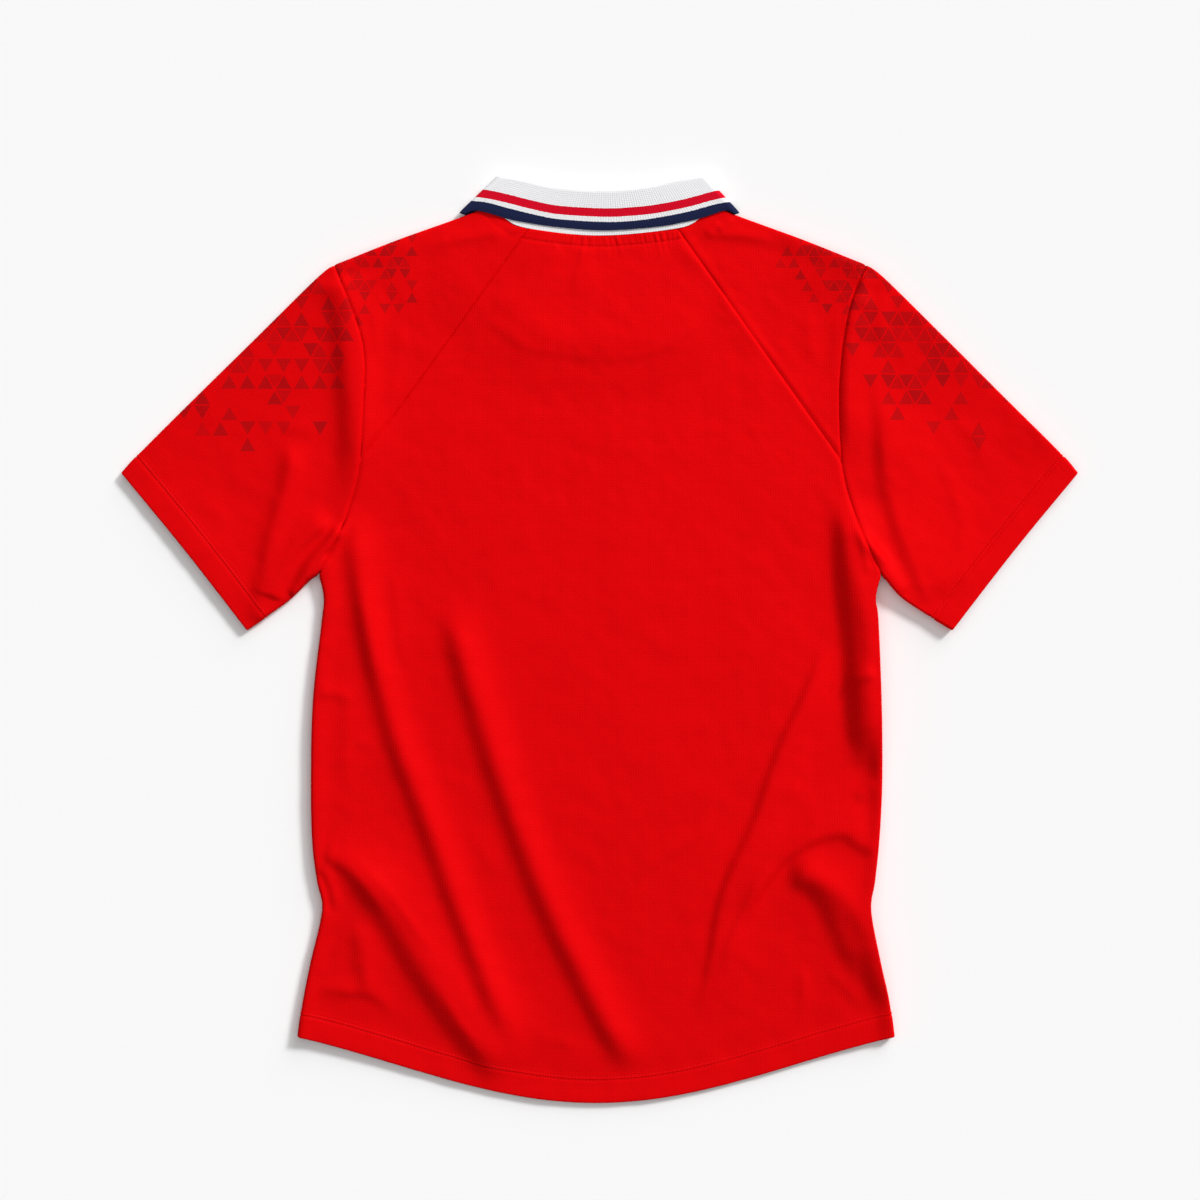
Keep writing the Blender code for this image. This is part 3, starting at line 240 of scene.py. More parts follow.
# Creases that are too small for the part's solids, in the same form.
CREASES = {
    "leaf_print": Ridge(((-104, 296), (-92, 274), (-62, 254), (-30, 246), (0, 244), (30, 246),
        (60, 254), (84, 272), (98, 294)), 1.3, 30, 6, 0.2, 0.2, 2.0),
    "waist_valley": Ridge(((-242, -196), (-234, -214), (-230, -240)), -1.8, 3.5, 3.5, 0.2, 0.3),
    "low_double": Ridge(((-214, -185), (-186, -211), (-160, -244), (-133, -284)),
        1.0, 4, 3.5, 0.3, 0.4),
    "low_shadow": Ridge(((-140, -296), (-118, -330), (-98, -358)), 1.2, 4, 4, 0.4, 0.3),
    "left_line": Ridge(((-217, -30), (-216, -80), (-219, -140)), 1.2, 9, 8, 0.4, 0.4),
    "left_cross": Ridge(((-242, -46), (-226, -46), (-208, -54)), 1.3, 7, 5, 0.2, 0.4),
    "left_spot": Ridge(((-212, -88), (-200, -90), (-188, -95)), 0.8, 6, 5, 0.3, 0.4),
    "left_small": Ridge(((-177, 66), (-174, 25), (-170, -5), (-161, -42)), 1.2, 9, 5, 0.3, 0.4),
    "middle_small": Ridge(((-108, -160), (-98, -185), (-84, -206)), 0.8, 8, 7, 0.4, 0.4),
    "low_faint": Ridge(((-62, -344), (-38, -345), (-12, -350)), 0.7, 8, 5, 0.4, 0.4),
    "right_faint_diagonal": Ridge(((24, -208), (50, -190), (80, -172), (112, -160)),
        1.1, 10, 5, 0.3, 0.4),
    "right_low_line": Ridge(((176, -276), (175, -306), (173, -336)), 0.9, 7, 5, 0.3, 0.4),
    "right_low_cross": Ridge(((194, -282), (214, -301), (229, -316)), 1.1, 8, 5, 0.3, 0.3),
    "right_mid_line": Ridge(((176, -96), (168, -120), (158, -146)), 0.7, 7, 5, 0.3, 0.4),
    "left_sleeve_cross": Ridge(((-276, 184), (-258, 180), (-240, 177)), 0.9, 8, 6, 0.3, 0.3),
    "left_sleeve_low": Ridge(((-352, 118), (-330, 112), (-312, 96)), 0.8, 10, 7, 0.4, 0.4),
    "left_sleeve_mid": Ridge(((-322, 142), (-306, 134), (-292, 128)), 0.6, 8, 6, 0.4, 0.4),
    "right_sleeve_top": Ridge(((226, 314), (225, 298), (220, 284)), 2.4, 7, 4, 0.1, 0.3),
    "right_sleeve_cap": Ridge(((242, 300), (241, 270), (243, 246)), 1.5, 8, 6, 0.2, 0.4),
    "right_sleeve_mid": Ridge(((304, 192), (322, 173), (331, 153), (341, 137)),
        0.9, 9, 6, 0.3, 0.4),
    "right_sleeve_far": Ridge(((366, 192), (378, 174), (386, 156)), 0.8, 8, 6, 0.3, 0.4),
    "right_sleeve_low": Ridge(((288, 152), (306, 122), (312, 84), (303, 56)), 0.8, 9, 7, 0.3, 0.3),
    "left_shoulder_edge": Ridge(((-194, 292), (-192, 262), (-194, 236)), 0.9, 7, 5, 0.3, 0.4),
    "left_shoulder_mid": Ridge(((-168, 276), (-174, 235), (-181, 196)), 0.9, 8, 6, 0.3, 0.4),
    "right_shoulder_edge": Ridge(((205, 292), (203, 252), (201, 210)), 1.2, 6, 7, 0.3, 0.4),
    "right_shoulder_mid": Ridge(((178, 298), (180, 262), (186, 226)), 0.8, 8, 7, 0.4, 0.4),
    "right_seam_swell": Ridge(((100, 302), (114, 282), (130, 262), (152, 234)),
        1.1, 4, 11, 0.2, 0.4),
    "collar_below": Ridge(((-92, 306), (-80, 286), (-58, 267), (-30, 256), (0, 253), (30, 256),
        (52, 264), (68, 278)), 1.3, 18, 8, 0.1, 0.3),
    "neck_middle": Ridge(((-12, 337), (-15, 325), (-19, 308), (-20, 290)), 0.9, 9, 5, 0.1, 0.5),
    "neck_left": Ridge(((-34, 337), (-42, 331), (-50, 322)), 0.7, 6, 5, 0.1, 0.5),
    "neck_right": Ridge(((62, 340), (78, 329), (92, 312)), 1.1, 6, 7, 0.2, 0.5),
    "right_shoulder_top": Ridge(((82, 348), (110, 348), (138, 344), (166, 335)),
        1.8, 9, 5, 0.2, 0.5),
    "left_shoulder_top": Ridge(((-160, 334), (-130, 342), (-100, 347), (-76, 350)),
        1.5, 9, 6, 0.4, 0.2),
    "collar_end_outer": Ridge(((100, 349), (108, 357), (116, 363)), 1.2, 3.5, 3.5, 0.3, 0.3),
    "collar_end_inner": Ridge(((90, 346), (97, 353), (104, 360)), 0.9, 3.5, 3.5, 0.3, 0.3),
}
RIDGE_REACH = 3.4           # flanks beyond which a fold no longer counts

# Sewing
TWIN_ROWS = (19.4, 22.2)                          # twin-needle rows, from the hem's edge
TUNNEL, TUNNEL_WIDTH = 0.3, 0.8                   # cloth that stands up between them
ROW_COVER = 0.6                                   # of the turned layer, beyond the far row
CUFF_PULL = {"left": 1.0, "right": 1.9}           # how tight the threads of the cuffs are
HEM_TRIM, NECK_TRIM, CUFF_TRIM = 0.012, 0.01, 0.02      # shares of a row's line left unsewn
NECK_ROW = 9.5                                    # topstitch, from the neckline
GROOVE, GROOVE_WIDTH = 0.5, 1.1                   # how deep and wide thread pulls the cloth in
PUFF_AT, PUFF_WIDTH = 4.0, 3.0                    # swell of the cloth beside a seam
SEAM_SINK, SEAM_WIDTH = 1.0, 0.9                  # how it sinks into the seam
NECK_SINK, NECK_WIDTH = 0.5, 1.0                  # the same at the neckline
SEAM_REACH, GATHER_REACH, HEM_REACH = 20.0, 30.0, 40.0  # beyond which seams and hems don't count
HEM_ROUND = 1.1                                   # rounding of a turned edge
PUCKER_PITCH = 5.0                                # gathers of the neck seam
PUCKER_HEIGHT = 0.45
PUCKER_HALF, PUCKER_FADE = 78.0, 15.0             # half width of the gathered stretch, its fade
PUCKER_REST = 0.3                                 # share of them that is left past the topstitch
Span = namedtuple("Span", "rise end fall")        # how they rise and fall, off the neckline
BETWEEN, BEYOND = Span(4.0, NECK_ROW + 1.0, 3.0), Span(2.0, 24.0, 12.0)


def linear(code):
    """Turn an sRGB hex colour into a linear one."""
    shares = [int(code[at:at + 2], 16) / 255 for at in (1, 3, 5)]
    return tuple(c / 12.92 if c <= 0.04045 else ((c + 0.055) / 1.055) ** 2.4 for c in shares)


# ---------------------------------------------------------------- curves in plan
LEAST_LENGTH, LEAST_AREA, LEAST = 1e-9, 1e-6, 1e-3      # floors under what is divided by


def unit(ways):
    """Return vectors of length 1."""
    return ways / np.maximum(np.linalg.norm(ways, axis=-1, keepdims=True), LEAST_LENGTH)


def ease(value):
    """Rise smoothly from 0 to 1 as the value goes from 0 to 1."""
    held = np.clip(value, 0.0, 1.0)
    return held * held * (3.0 - 2.0 * held)


def rounded(points, steps=8):
    """Return a smooth line through the points."""
    knots = np.array(points, float)
    ends = np.vstack([2 * knots[0] - knots[1], knots, 2 * knots[-1] - knots[-2]])
    line = []
    for before, start, end, after in zip(ends, ends[1:], ends[2:], ends[3:]):
        for step in range(steps):
            t = step / steps
            line.append(0.5 * (2 * start + (end - before) * t
                               + (2 * before - 5 * start + 4 * end - after) * t * t
                               + (3 * start - before - 3 * end + after) * t ** 3))
    return np.array(line + [knots[-1]])


class Path:
    """A line in plan that is read by the share of its length."""

    def __init__(self, points):
        self.points = np.array(points, float)
        steps = np.linalg.norm(np.diff(self.points, axis=0), axis=1)
        self.reached = np.concatenate([[0.0], np.cumsum(steps)])
        self.length = self.reached[-1]

    def at(self, share):
        """Return the point at a share of the length."""
        reach = np.asarray(share) * self.length
        columns = [np.interp(reach, self.reached, self.points[:, axis]) for axis in (0, 1)]
        return np.stack(columns, axis=-1)

    def cut(self, low, high):
        """Return the stretch between two shares, which may run backwards."""
        return Path(self.at(np.linspace(low, high, num=40)))

    def share_at_height(self, y):
        """Return the share of the path's points that come before a height."""
        return float(np.argmin(np.abs(self.points[:, 1] - y))) / (len(self.points) - 1)

    def beside(self, distance):
        """Return the line at a distance on its left."""
        way = unit(np.gradient(self.points, axis=0))
        return Path(self.points + distance * np.stack([-way[:, 1], way[:, 0]], -1))


def one_side(table, side):
    """Return the smooth path through one side of a table of edges."""
    return Path(rounded([(getattr(row, side), row.y) for row in table]))


def both_sides(table, middle):
    """Return the smooth path from the left through the middle to the right."""
    left = [(row.left, row.y) for row in table]
    right = [(row.right, row.y) for row in reversed(table)]
    return Path(rounded(left + [middle] + right))


def hem_path(drop):
    """Return the curved hem from the left corner to the right one."""
    left, right = SIDE_SEAMS[0].left, SIDE_SEAMS[0].right
    middle = (left + right) / 2
    points = []
    for x in np.linspace(left, right, num=61):
        turn = math.pi * (x - middle) / (right - left)
        sweep = (1 - HEM_TIP) * math.cos(turn) + HEM_TIP * (1 + math.cos(2 * turn)) / 2
        points.append((x, SIDE_SEAMS[0].y - drop * sweep))
    return Path(points)


def front_curve(low_y, half_width, high_y, gap):
    """Return one half of a front neck curve, from centre front up to the left crease."""
    points = []
    for turn in np.linspace(0.0, math.pi / 2, num=33):
        x = half_width * math.sin(turn) ** (2 / NECK_ROUNDNESS)
        y = high_y - (high_y - low_y) * max(math.cos(turn), 0.0) ** (2 / NECK_ROUNDNESS)
        points.append((-max(x, gap), y))
    return Path(points)


class Cut:
    """The seams and folded edges of one side of the garment."""

    def __init__(self, side):
        self.sign = -1.0 if side == "left" else 1.0
        self.side_seam = one_side(SIDE_SEAMS, side)
        self.armhole = one_side(ARMHOLES, side)
        self.shoulder = one_side(list(reversed(SHOULDERS)), side)
        self.sleeve_top = one_side(SLEEVE_TOPS, side)
        self.underarm = one_side(UNDERARMS, side)
        self.junction = self.armhole.share_at_height(JUNCTION_Y)
        corner = self.armhole.at(self.junction)
        neck = [getattr(BACK_NECK[-1], side), BACK_NECK[-1].y]
        self.diagonal = Path([corner, neck])
        self.neck_point = self.shoulder.at(0.0)
        ways = (self.underarm.at(0.1) - self.underarm.at(0.0),
                self.side_seam.at(0.95) - self.side_seam.at(1.0))
        self.underarm_inward = unit(-sum(unit(way) for way in ways))
        half_neck = abs(self.neck_point[0])
        neck_half = front_curve(NECK_FRONT_Y, half_neck, self.neck_point[1], 0.0)
        self.front_neck = Path(neck_half.points * (-self.sign, 1.0))
        self.front_neck_share = self.front_neck.share_at_height(FRONT_SEAM_Y)
        self.front_diagonal = Path([corner, self.front_neck.at(self.front_neck_share)])
        top, bottom = self.sleeve_top.at(1.0), self.underarm.at(1.0)
        middle = (top + bottom) / 2 - np.array([self.sign * CUFF_BOW, 0.0])
        self.cuff = Path(rounded([top, middle, bottom]))


CUTS = {"left": Cut("left"), "right": Cut("right")}
BACK_HEM = hem_path(HEM_DROP_BACK)
FRONT_HEM = hem_path(HEM_DROP_FRONT)
WHOLE_NECKLINE = both_sides(BACK_NECK, NECK_BACK)
DIAGONAL_KNOTS = (2 / 6, 4 / 6)         # where the diagonals meet it, as shares of its knots


def knot_share(path, knot_part):
    """Return the share of a path's length at a share of its knots."""
    return path.reached[round(knot_part * (len(path.points) - 1))] / path.length


NECK_CUTS = tuple(knot_share(WHOLE_NECKLINE, part) for part in DIAGONAL_KNOTS)
NECKLINE = WHOLE_NECKLINE.cut(*NECK_CUTS)
SIDE_NECKS = {"left": WHOLE_NECKLINE.cut(0.0, NECK_CUTS[0]),
              "right": WHOLE_NECKLINE.cut(1.0, NECK_CUTS[1])}


# ---------------------------------------------------------------- how high the cloth lies
FAR = 1e4                   # a distance that stands for out of reach


def nearest(points, line, reach=FAR):
    """Return distance to a line, ways off it and across it, side (+1 left) and share along.

    Points beyond the reach are far away.
    """
    flat = points.reshape(-1, 2)
    near = ((flat > line.min(0) - reach) & (flat < line.max(0) + reach)).all(-1)
    start, step = line[:-1], np.diff(line, axis=0)
    length = np.linalg.norm(step, axis=1)
    offset = flat[near][:, None, :] - start
    along = np.clip((offset * step).sum(-1) / length ** 2, 0.0, 1.0)
    away = offset - along[..., None] * step
    square = (away ** 2).sum(-1)
    best = square.argmin(-1)
    row = np.arange(len(best))
    found = np.zeros((len(flat), 7))
    found[:, 0] = FAR
    found[:, 5] = 1.0
    reached = np.concatenate([[0.0], np.cumsum(length)])
    across = np.stack([-step[best][:, 1], step[best][:, 0]], -1) / length[best][:, None]
    way = away[row, best]
    found[near, 0] = np.sqrt(square[row, best])
    found[near, 1:3] = way
    found[near, 3:5] = across
    found[near, 5] = np.where((way * across).sum(-1) < 0.0, -1.0, 1.0)
    found[near, 6] = (reached[best] + along[row, best] * length[best]) / reached[-1]
    found = found.reshape(points.shape[:-1] + (7,))
    return found[..., 0], found[..., 1:3], found[..., 3:5], found[..., 5], found[..., 6]


def longer(points, reach=80.0):
    """Return a line with its last stretch carried on past its end."""
    return np.vstack([points, points[-1] + unit(points[-1] - points[-2]) * reach])


def folded_lines():
    """Return the folded edges, each with the side of it on which the cloth lies."""
    lines = []
    for cut in CUTS.values():
        upper = np.vstack([cut.shoulder.points, longer(cut.sleeve_top.points)[1:]])
        sleeve_end = longer(cut.underarm.points)
        body_end = longer(cut.side_seam.points[::-1])
        lower = np.vstack([sleeve_end[::-1], body_end[1:]])
        lines += [(upper, -cut.sign), (lower, -cut.sign)]
    return lines


FOLDED = folded_lines()
EDGE_REACH = 130.0          # further in, the cloth no longer feels its folded edges
ON_EDGE = 0.01              # nearer, a point is on the edge itself


def edge_distance(points):
    """Return the distance to the nearest folded edge and the inward way there."""
    best = np.full(points.shape[:-1], FAR)
    inward = np.zeros(points.shape)
    for line, cloth_side in FOLDED:
        distance, way, across, _, _ = nearest(points, line, EDGE_REACH)
        closer = distance < best
        on_edge = (distance < ON_EDGE)[..., None]
        off_edge = way / np.maximum(distance, ON_EDGE)[..., None]
        found = np.where(on_edge, across * cloth_side, off_edge)
        inward = np.where(closer[..., None], found, inward)
        best = np.where(closer, distance, best)
    for cut in CUTS.values():
        reach = np.linalg.norm(points - cut.underarm.at(0.0), axis=-1)
        shared = (1.0 - ease(reach / UNDERARM_TURN))[..., None]
        inward = inward * (1.0 - shared) + cut.underarm_inward * shared
    return best, inward


def front_ring(points, low_y, half_width, high_y):
    """Return 1 on a front neck curve, less inside it and more outside it."""
    across = np.abs(points[..., 0]) / half_width
    down = np.clip(high_y - points[..., 1], 0.0, None) / (high_y - low_y)
    return (across ** NECK_ROUNDNESS + down ** NECK_ROUNDNESS) ** (1 / NECK_ROUNDNESS)


def lying_level(points, run=LEAF_SLOPE):
    """Return the height of the lower cloth: on the surface, or over the front leaf."""
    leaf_depth = LEAF_EDGE[0].y - FRONT_LEAF_Y
    ring = front_ring(points, FRONT_LEAF_Y, LEAF_HALF, LEAF_EDGE[0].y)
    beyond = (ring - 1.0) * leaf_depth / run
    over_leaf = FOLD_LEVEL - STAND_TURN
    return over_leaf + (LYING - over_leaf) * ease(beyond)


def collar_sag(x):
    """Return how far the back collar and neckline sink between the side creases."""
    inside = np.clip(1.0 - (x / COLLAR_SAG_HALF) ** 2, 0.0, 1.0)
    return COLLAR_SAG * inside ** 2


def neck_distance(points):
    """Return the distance to the nearer end of the shoulder folds at the neck."""
    left = np.linalg.norm(points - CUTS["left"].neck_point, axis=-1)
    right = np.linalg.norm(points - CUTS["right"].neck_point, axis=-1)
    return np.minimum(left, right)


def roll_radius(points):
    """Return the roll radius of the upper cloth: small at the neck, full further out."""
    growth = ease((neck_distance(points) - NECK_FLAT) / NECK_GROWTH)
    return STAND_TURN + (SIDE_ROLL - STAND_TURN) * growth


def roll_width(points):
    """Return how far in from its folded edge the upper cloth turns down."""
    flatter = ease((points[..., 0] - RIGHT_START) / RIGHT_BLEND)
    wide = ROLL_WIDTH + (ROLL_WIDTH_RIGHT - ROLL_WIDTH) * flatter
    return np.minimum(roll_radius(points), wide)


def fold_height(points, ridges):
    """Return what the folds add to the upper cloth."""
    total = np.zeros(points.shape[:-1])
    for ridge in ridges.values():
        reach = RIDGE_REACH * max(ridge.left, ridge.right)
        distance, _, _, side, share = nearest(points, rounded(ridge.crest, steps=5), reach)
        width = np.where(side > 0.0, ridge.left, ridge.right)
        power = np.where(side > 0.0, LIT_FLANK, ridge.power)
        ends = ease(share / ridge.fade_in) * ease((1.0 - share) / ridge.fade_out)
        total += ridge.height * ends * np.exp(-(distance / width) ** power)
    return total


def open_edge_lift(points):
    """Return what the turned hem and the gaping cuffs add to the upper cloth."""
    hem = nearest(points, BACK_HEM.points, HEM_COVER + HEM_BAND)[0]
    lift = HEM_EXTRA * ease(1.0 - (hem - HEM_COVER) / HEM_BAND)
    for curl in HEM_CURLS:
        near = ease((curl.reach - hem) / curl.reach)
        lift = lift + curl.height * near * np.exp(-((points[..., 0] - curl.x) / curl.half) ** 2)
    for cut in CUTS.values():
        cuff = nearest(points, cut.cuff.points, CUFF_REACH)[0]
        lift = lift + CUFF_LIFT * ease((CUFF_REACH - cuff) / CUFF_REACH)
    return lift


def sleeve_share(points, start, blend):
    """Return how far the points are on a sleeve, from 0 to 1, from a distance off the middle."""
    return ease((np.abs(points[..., 0]) - start) / blend) * (points[..., 1] > 0.0)


def raised_edge(points, distance):
    """Return how far the cloth shares the height of its folded edge, from 0 to 1."""
    heights = [row.y for row in SIDE_LIPS]
    shapes = []
    for measure, sleeve in zip(("share", "width"), SLEEVE_LIP):
        left, right = (np.interp(points[..., 1], heights,
                                 [getattr(row, side + "_" + measure) for row in SIDE_LIPS])
                       for side in ("left", "right"))
        body = np.where(points[..., 0] < 0.0, left, right)
        on_sleeve = sleeve_share(points, SLEEVE_START, SLEEVE_BLEND)
        shapes.append(body + (sleeve - body) * on_sleeve)
    share, width = shapes
    close = np.exp(-(distance / width) ** 2)
    return share * close + (1.0 - share) * np.exp(-(distance / LIP_SPREAD) ** 2)


def upper_level(points, edge):
    """Return the height of the upper cloth before its edges roll down."""
    base = lying_level(points, BACK_SLOPE) + CLOTH + SEAM_GAP + open_edge_lift(points)
    fold_ring = front_ring(points, FRONT_FOLD_Y, FOLD_HALF, COLLAR_TOP[0].y)
    stand_ring = front_ring(points, NECK_FRONT_Y, NECK_HALF, BACK_NECK[0].y)
    base = base + STAND_LIFT * ease((STAND_START - stand_ring) / STAND_FADE)
    base = base - HOLE_SAG * ease((HOLE_START - fold_ring) / HOLE_FADE)
    seam_level = FOLD_LEVEL + STAND_TURN - collar_sag(points[..., 0])
    near_neck = ease(1.0 - nearest(points, WHOLE_NECKLINE.points, NECK_REACH)[0] / NECK_REACH)
    base = base + (seam_level - base) * near_neck
    lip = raised_edge(points, np.maximum(edge - roll_width(points), 0.0))
    sink = np.where(points[..., 0] < 0.0, *SLEEVE_SINK)
    on_sleeve = sleeve_share(points, SINK_START, SINK_BLEND)
    rim = FOLD_LEVEL + roll_radius(points) - sink * on_sleeve
    clear_of_neck = 1.0 - near_neck
    folds = fold_height(points, RIDGES) * clear_of_neck * (1.0 - LIP_CALM * lip)
    return base + (rim - base) * lip + folds


def upper_level_fine(points, edge):
    """Return the same with the small creases and the cloth's waviness."""
    return upper_level(points, edge) + fold_height(points, CREASES) + unevenness(points)


def grid_slope(height, plan):
    """Return how steeply a height over a grid of plan points rises along X and Y."""
    x_down, x_over = np.gradient(plan[..., 0])
    y_down, y_over = np.gradient(plan[..., 1])
    h_down, h_over = np.gradient(height)
    area = x_down * y_over - x_over * y_down
    area = np.where(np.abs(area) < LEAST_AREA, LEAST_AREA, area)
    along_x = (h_down * y_over - h_over * y_down) / area
    along_y = (x_down * h_over - x_over * h_down) / area
    return np.stack([along_x, along_y], -1)


def layer(plan, level, roll, facing):
    """Lay cloth at a level over a plan grid, rolled to the fold level at folded edges.

    Return the middle of the wall and the way out of it. Facing is 1 for the upper layer
    and -1 for the lower one.
    """
    edge, inward = edge_distance(plan)
    share = np.clip(edge / roll, 0.0, 1.0)
    turned = np.sqrt(np.maximum(1.0 - (1.0 - share) ** 2, 0.0))
    lying = level(plan, edge)
    height = lying - FOLD_LEVEL
    steep = height / roll * (1.0 - share) / np.maximum(turned, LEAST)
    rise = grid_slope(lying, plan) * turned[..., None] + steep[..., None] * inward
    middle = np.concatenate([plan, (FOLD_LEVEL + height * turned)[..., None]], -1)
    out = facing * np.concatenate([-rise, np.ones(height.shape)[..., None]], -1)
    return middle, unit(out)


def upper_layer(plan):
    """Lay the cloth that is on top."""
    return layer(plan, upper_level_fine, roll_width(plan), 1.0)


def lower_roll(points):
    """Return the roll radius of the lower cloth, which turns up to the fold level."""
    return FOLD_LEVEL - lying_level(points)


def lower_layer(plan):
    """Lay the cloth underneath."""
    return layer(plan, lambda points, _: lying_level(points), lower_roll(plan), -1.0)


# ---------------------------------------------------------------- relief of the sewing
Wave = namedtuple("Wave", "cell height turn stretch")
WAVES = [
    Wave(64.0, 0.55, 0.3, 1.0),
    Wave(30.0, 0.32, 1.1, 1.4),
    Wave(17.0, 0.24, 2.4, 1.6),
    Wave(10.0, 0.19, 0.7, 1.0),
    Wave(6.5, 0.13, 1.9, 1.0),
]
WAVE_SEED = 11
LATTICE = 256                                     # cells of the lattice, which then repeats
BEND, BEND_LENGTH = 5.0, 23.0                     # how the lattice's lines wander


def uneven_wave(points, wave, seed):
    """Return smooth random heights between -1 and 1, one for each cell of a turned lattice."""
    heights = np.random.default_rng(seed).uniform(-1.0, 1.0, (LATTICE, LATTICE))
    cos, sin = math.cos(wave.turn), math.sin(wave.turn)
    across = (points[..., 0] * cos + points[..., 1] * sin) / (wave.cell * wave.stretch)
    along = (points[..., 1] * cos - points[..., 0] * sin) / wave.cell
    column, row = np.floor(across).astype(int), np.floor(along).astype(int)
    right, up = ease(across - column), ease(along - row)

    def corner(right_step, up_step):
        return heights[(row + up_step) % LATTICE, (column + right_step) % LATTICE]

    low = corner(0, 0) * (1 - right) + corner(1, 0) * right
    high = corner(0, 1) * (1 - right) + corner(1, 1) * right
    return low * (1 - up) + high * up


def unevenness(points):
    """Return the slight waviness of cloth that was smoothed by hand."""
    bent = points + BEND * np.sin(points[..., ::-1] / BEND_LENGTH)
    return sum(wave.height * uneven_wave(bent, wave, WAVE_SEED + index)
               for index, wave in enumerate(WAVES))


def groove(distance, at):
    """Return the dent that a row of stitches makes at a distance from an edge."""
    return -GROOVE * np.exp(-((distance - at) / GROOVE_WIDTH) ** 2)


def turned_edge(distance):
    """Return how far a turned edge rounds down, from the distance to it."""
    inside = np.clip(1.0 - distance / HEM_ROUND, 0.0, 1.0)
    return -HEM_ROUND * (1.0 - np.sqrt(1.0 - inside ** 2))


def band_relief(distance, pull=1.0):
    """Return the relief of a twin-needle hem over the distance from its edge.

    Pull is how tight its threads are, next to the other hems.
    """
    near, far = TWIN_ROWS
    tunnel = TUNNEL * np.exp(-((distance - (near + far) / 2) / TUNNEL_WIDTH) ** 2)
    band = HEM_EXTRA * ease((far + ROW_COVER + HEM_STEP - distance) / HEM_STEP)
    rows = groove(distance, near) + groove(distance, far)
    return band + tunnel + pull * rows + turned_edge(distance)


def seam_relief(points, line, puff):
    """Return the relief beside a seam: it sinks into the seam and swells next to it."""
    distance = nearest(points, line, SEAM_REACH)[0]
    swell = puff * np.exp(-((distance - PUFF_AT) / PUFF_WIDTH) ** 2)
    return swell - SEAM_SINK * np.exp(-(distance / SEAM_WIDTH) ** 2)


def neck_relief(points):
    """Return the gathers between the neckline and its topstitch, and beyond it.

    Their periods and phases have no common measure, so that no two gathers are alike.
    """
    distance, _, _, _, share = nearest(points, WHOLE_NECKLINE.points, GATHER_REACH)
    along = share * WHOLE_NECKLINE.length
    slant = distance * (0.25 + 0.45 * np.sin(along / 31.0 + 0.6))
    phase = math.tau * (along + slant) / PUCKER_PITCH
    wave = 0.6 * np.cos(phase + 1.5 * np.sin(along / 11.0) + 0.9 * np.sin(along / 4.7 + 2.0)) \
        + 0.5 * np.cos(phase * 0.61 + 2.1 * np.sin(along / 13.0 + 1.0))
    uneven = 0.65 + 0.35 * np.sin(along / 6.1 + 1.0 + 1.3 * np.sin(along / 17.0))
    between = ease(distance / BETWEEN.rise) * ease((BETWEEN.end - distance) / BETWEEN.fall)
    past = distance - NECK_ROW
    beyond = ease(past / BEYOND.rise) * ease((BEYOND.end - distance) / BEYOND.fall)
    inside = ease((PUCKER_HALF - np.abs(points[..., 0])) / PUCKER_FADE)
    gathers = PUCKER_HEIGHT * wave * uneven * (between + PUCKER_REST * beyond) * inside
    sink = -NECK_SINK * np.exp(-(distance / NECK_WIDTH) ** 2)
    return gathers + groove(distance, NECK_ROW) + sink


# ---------------------------------------------------------------- grids in plan
def patch(start, end, first, last, shares, first_weight, last_weight):
    """Fill the space between four edges.

    Row i runs from start[i] to end[i] with its points at shares[i]. It takes the bend of the
    first edge by first_weight[i] and of the last edge by last_weight[i].
    """
    def bend(path, share):
        straight = path.at(0.0) + (path.at(1.0) - path.at(0.0)) * share[..., None]
        return path.at(share) - straight

    rows = start[:, None] + (end - start)[:, None] * shares[..., None]
    rows = rows + first_weight[:, None, None] * bend(first, shares)
    return rows + last_weight[:, None, None] * bend(last, shares)


def spread(length, near, count, rolled):
    """Return the shares of a row: close together at rolled ends, else even."""
    inner = np.linspace(near[-1], length - near[-1], count - 2 * len(near) + 3)[1:-1]
    close = np.concatenate([near, inner, length - np.array(near)[::-1]])
    even = np.linspace(0.0, length, count + 1)
    return (even + (close - even) * rolled) / length


def odd_count(steps, at):
    """Drop the step at a place, if need be, so that the cells between them come in pairs."""
    return [step for place, step in enumerate(steps) if len(steps) % 2 or place != at]


def without_column(grids, from_end):
    """Return the grids without the column at a place from their end."""
    return [np.delete(grid, grid.shape[1] - from_end, axis=1) for grid in grids]


def trimmed(middle, first_row=False, last_row=False, first_column=False, last_column=False):
    """Draw the named edges of a grid back from their seams."""
    grid = middle.copy()
    for wanted, turned, end in ((first_row, False, 0), (last_row, False, -1),
                                (first_column, True, 0), (last_column, True, -1)):
        if not wanted:
            continue
        view = grid.transpose(1, 0, 2) if turned else grid
        source = middle.transpose(1, 0, 2) if turned else middle
        inner = 1 if end == 0 else -2
        view[end] += unit(source[inner] - source[end]) * SEAM_DRAW
    return grid


SHARP = math.radians(55)                          # edges of the wall, shown as corners


def new_object(name, data):
    """Put an object in the scene."""
    made = bpy.data.objects.new(name, data)
    bpy.context.scene.collection.objects.link(made)
    return made


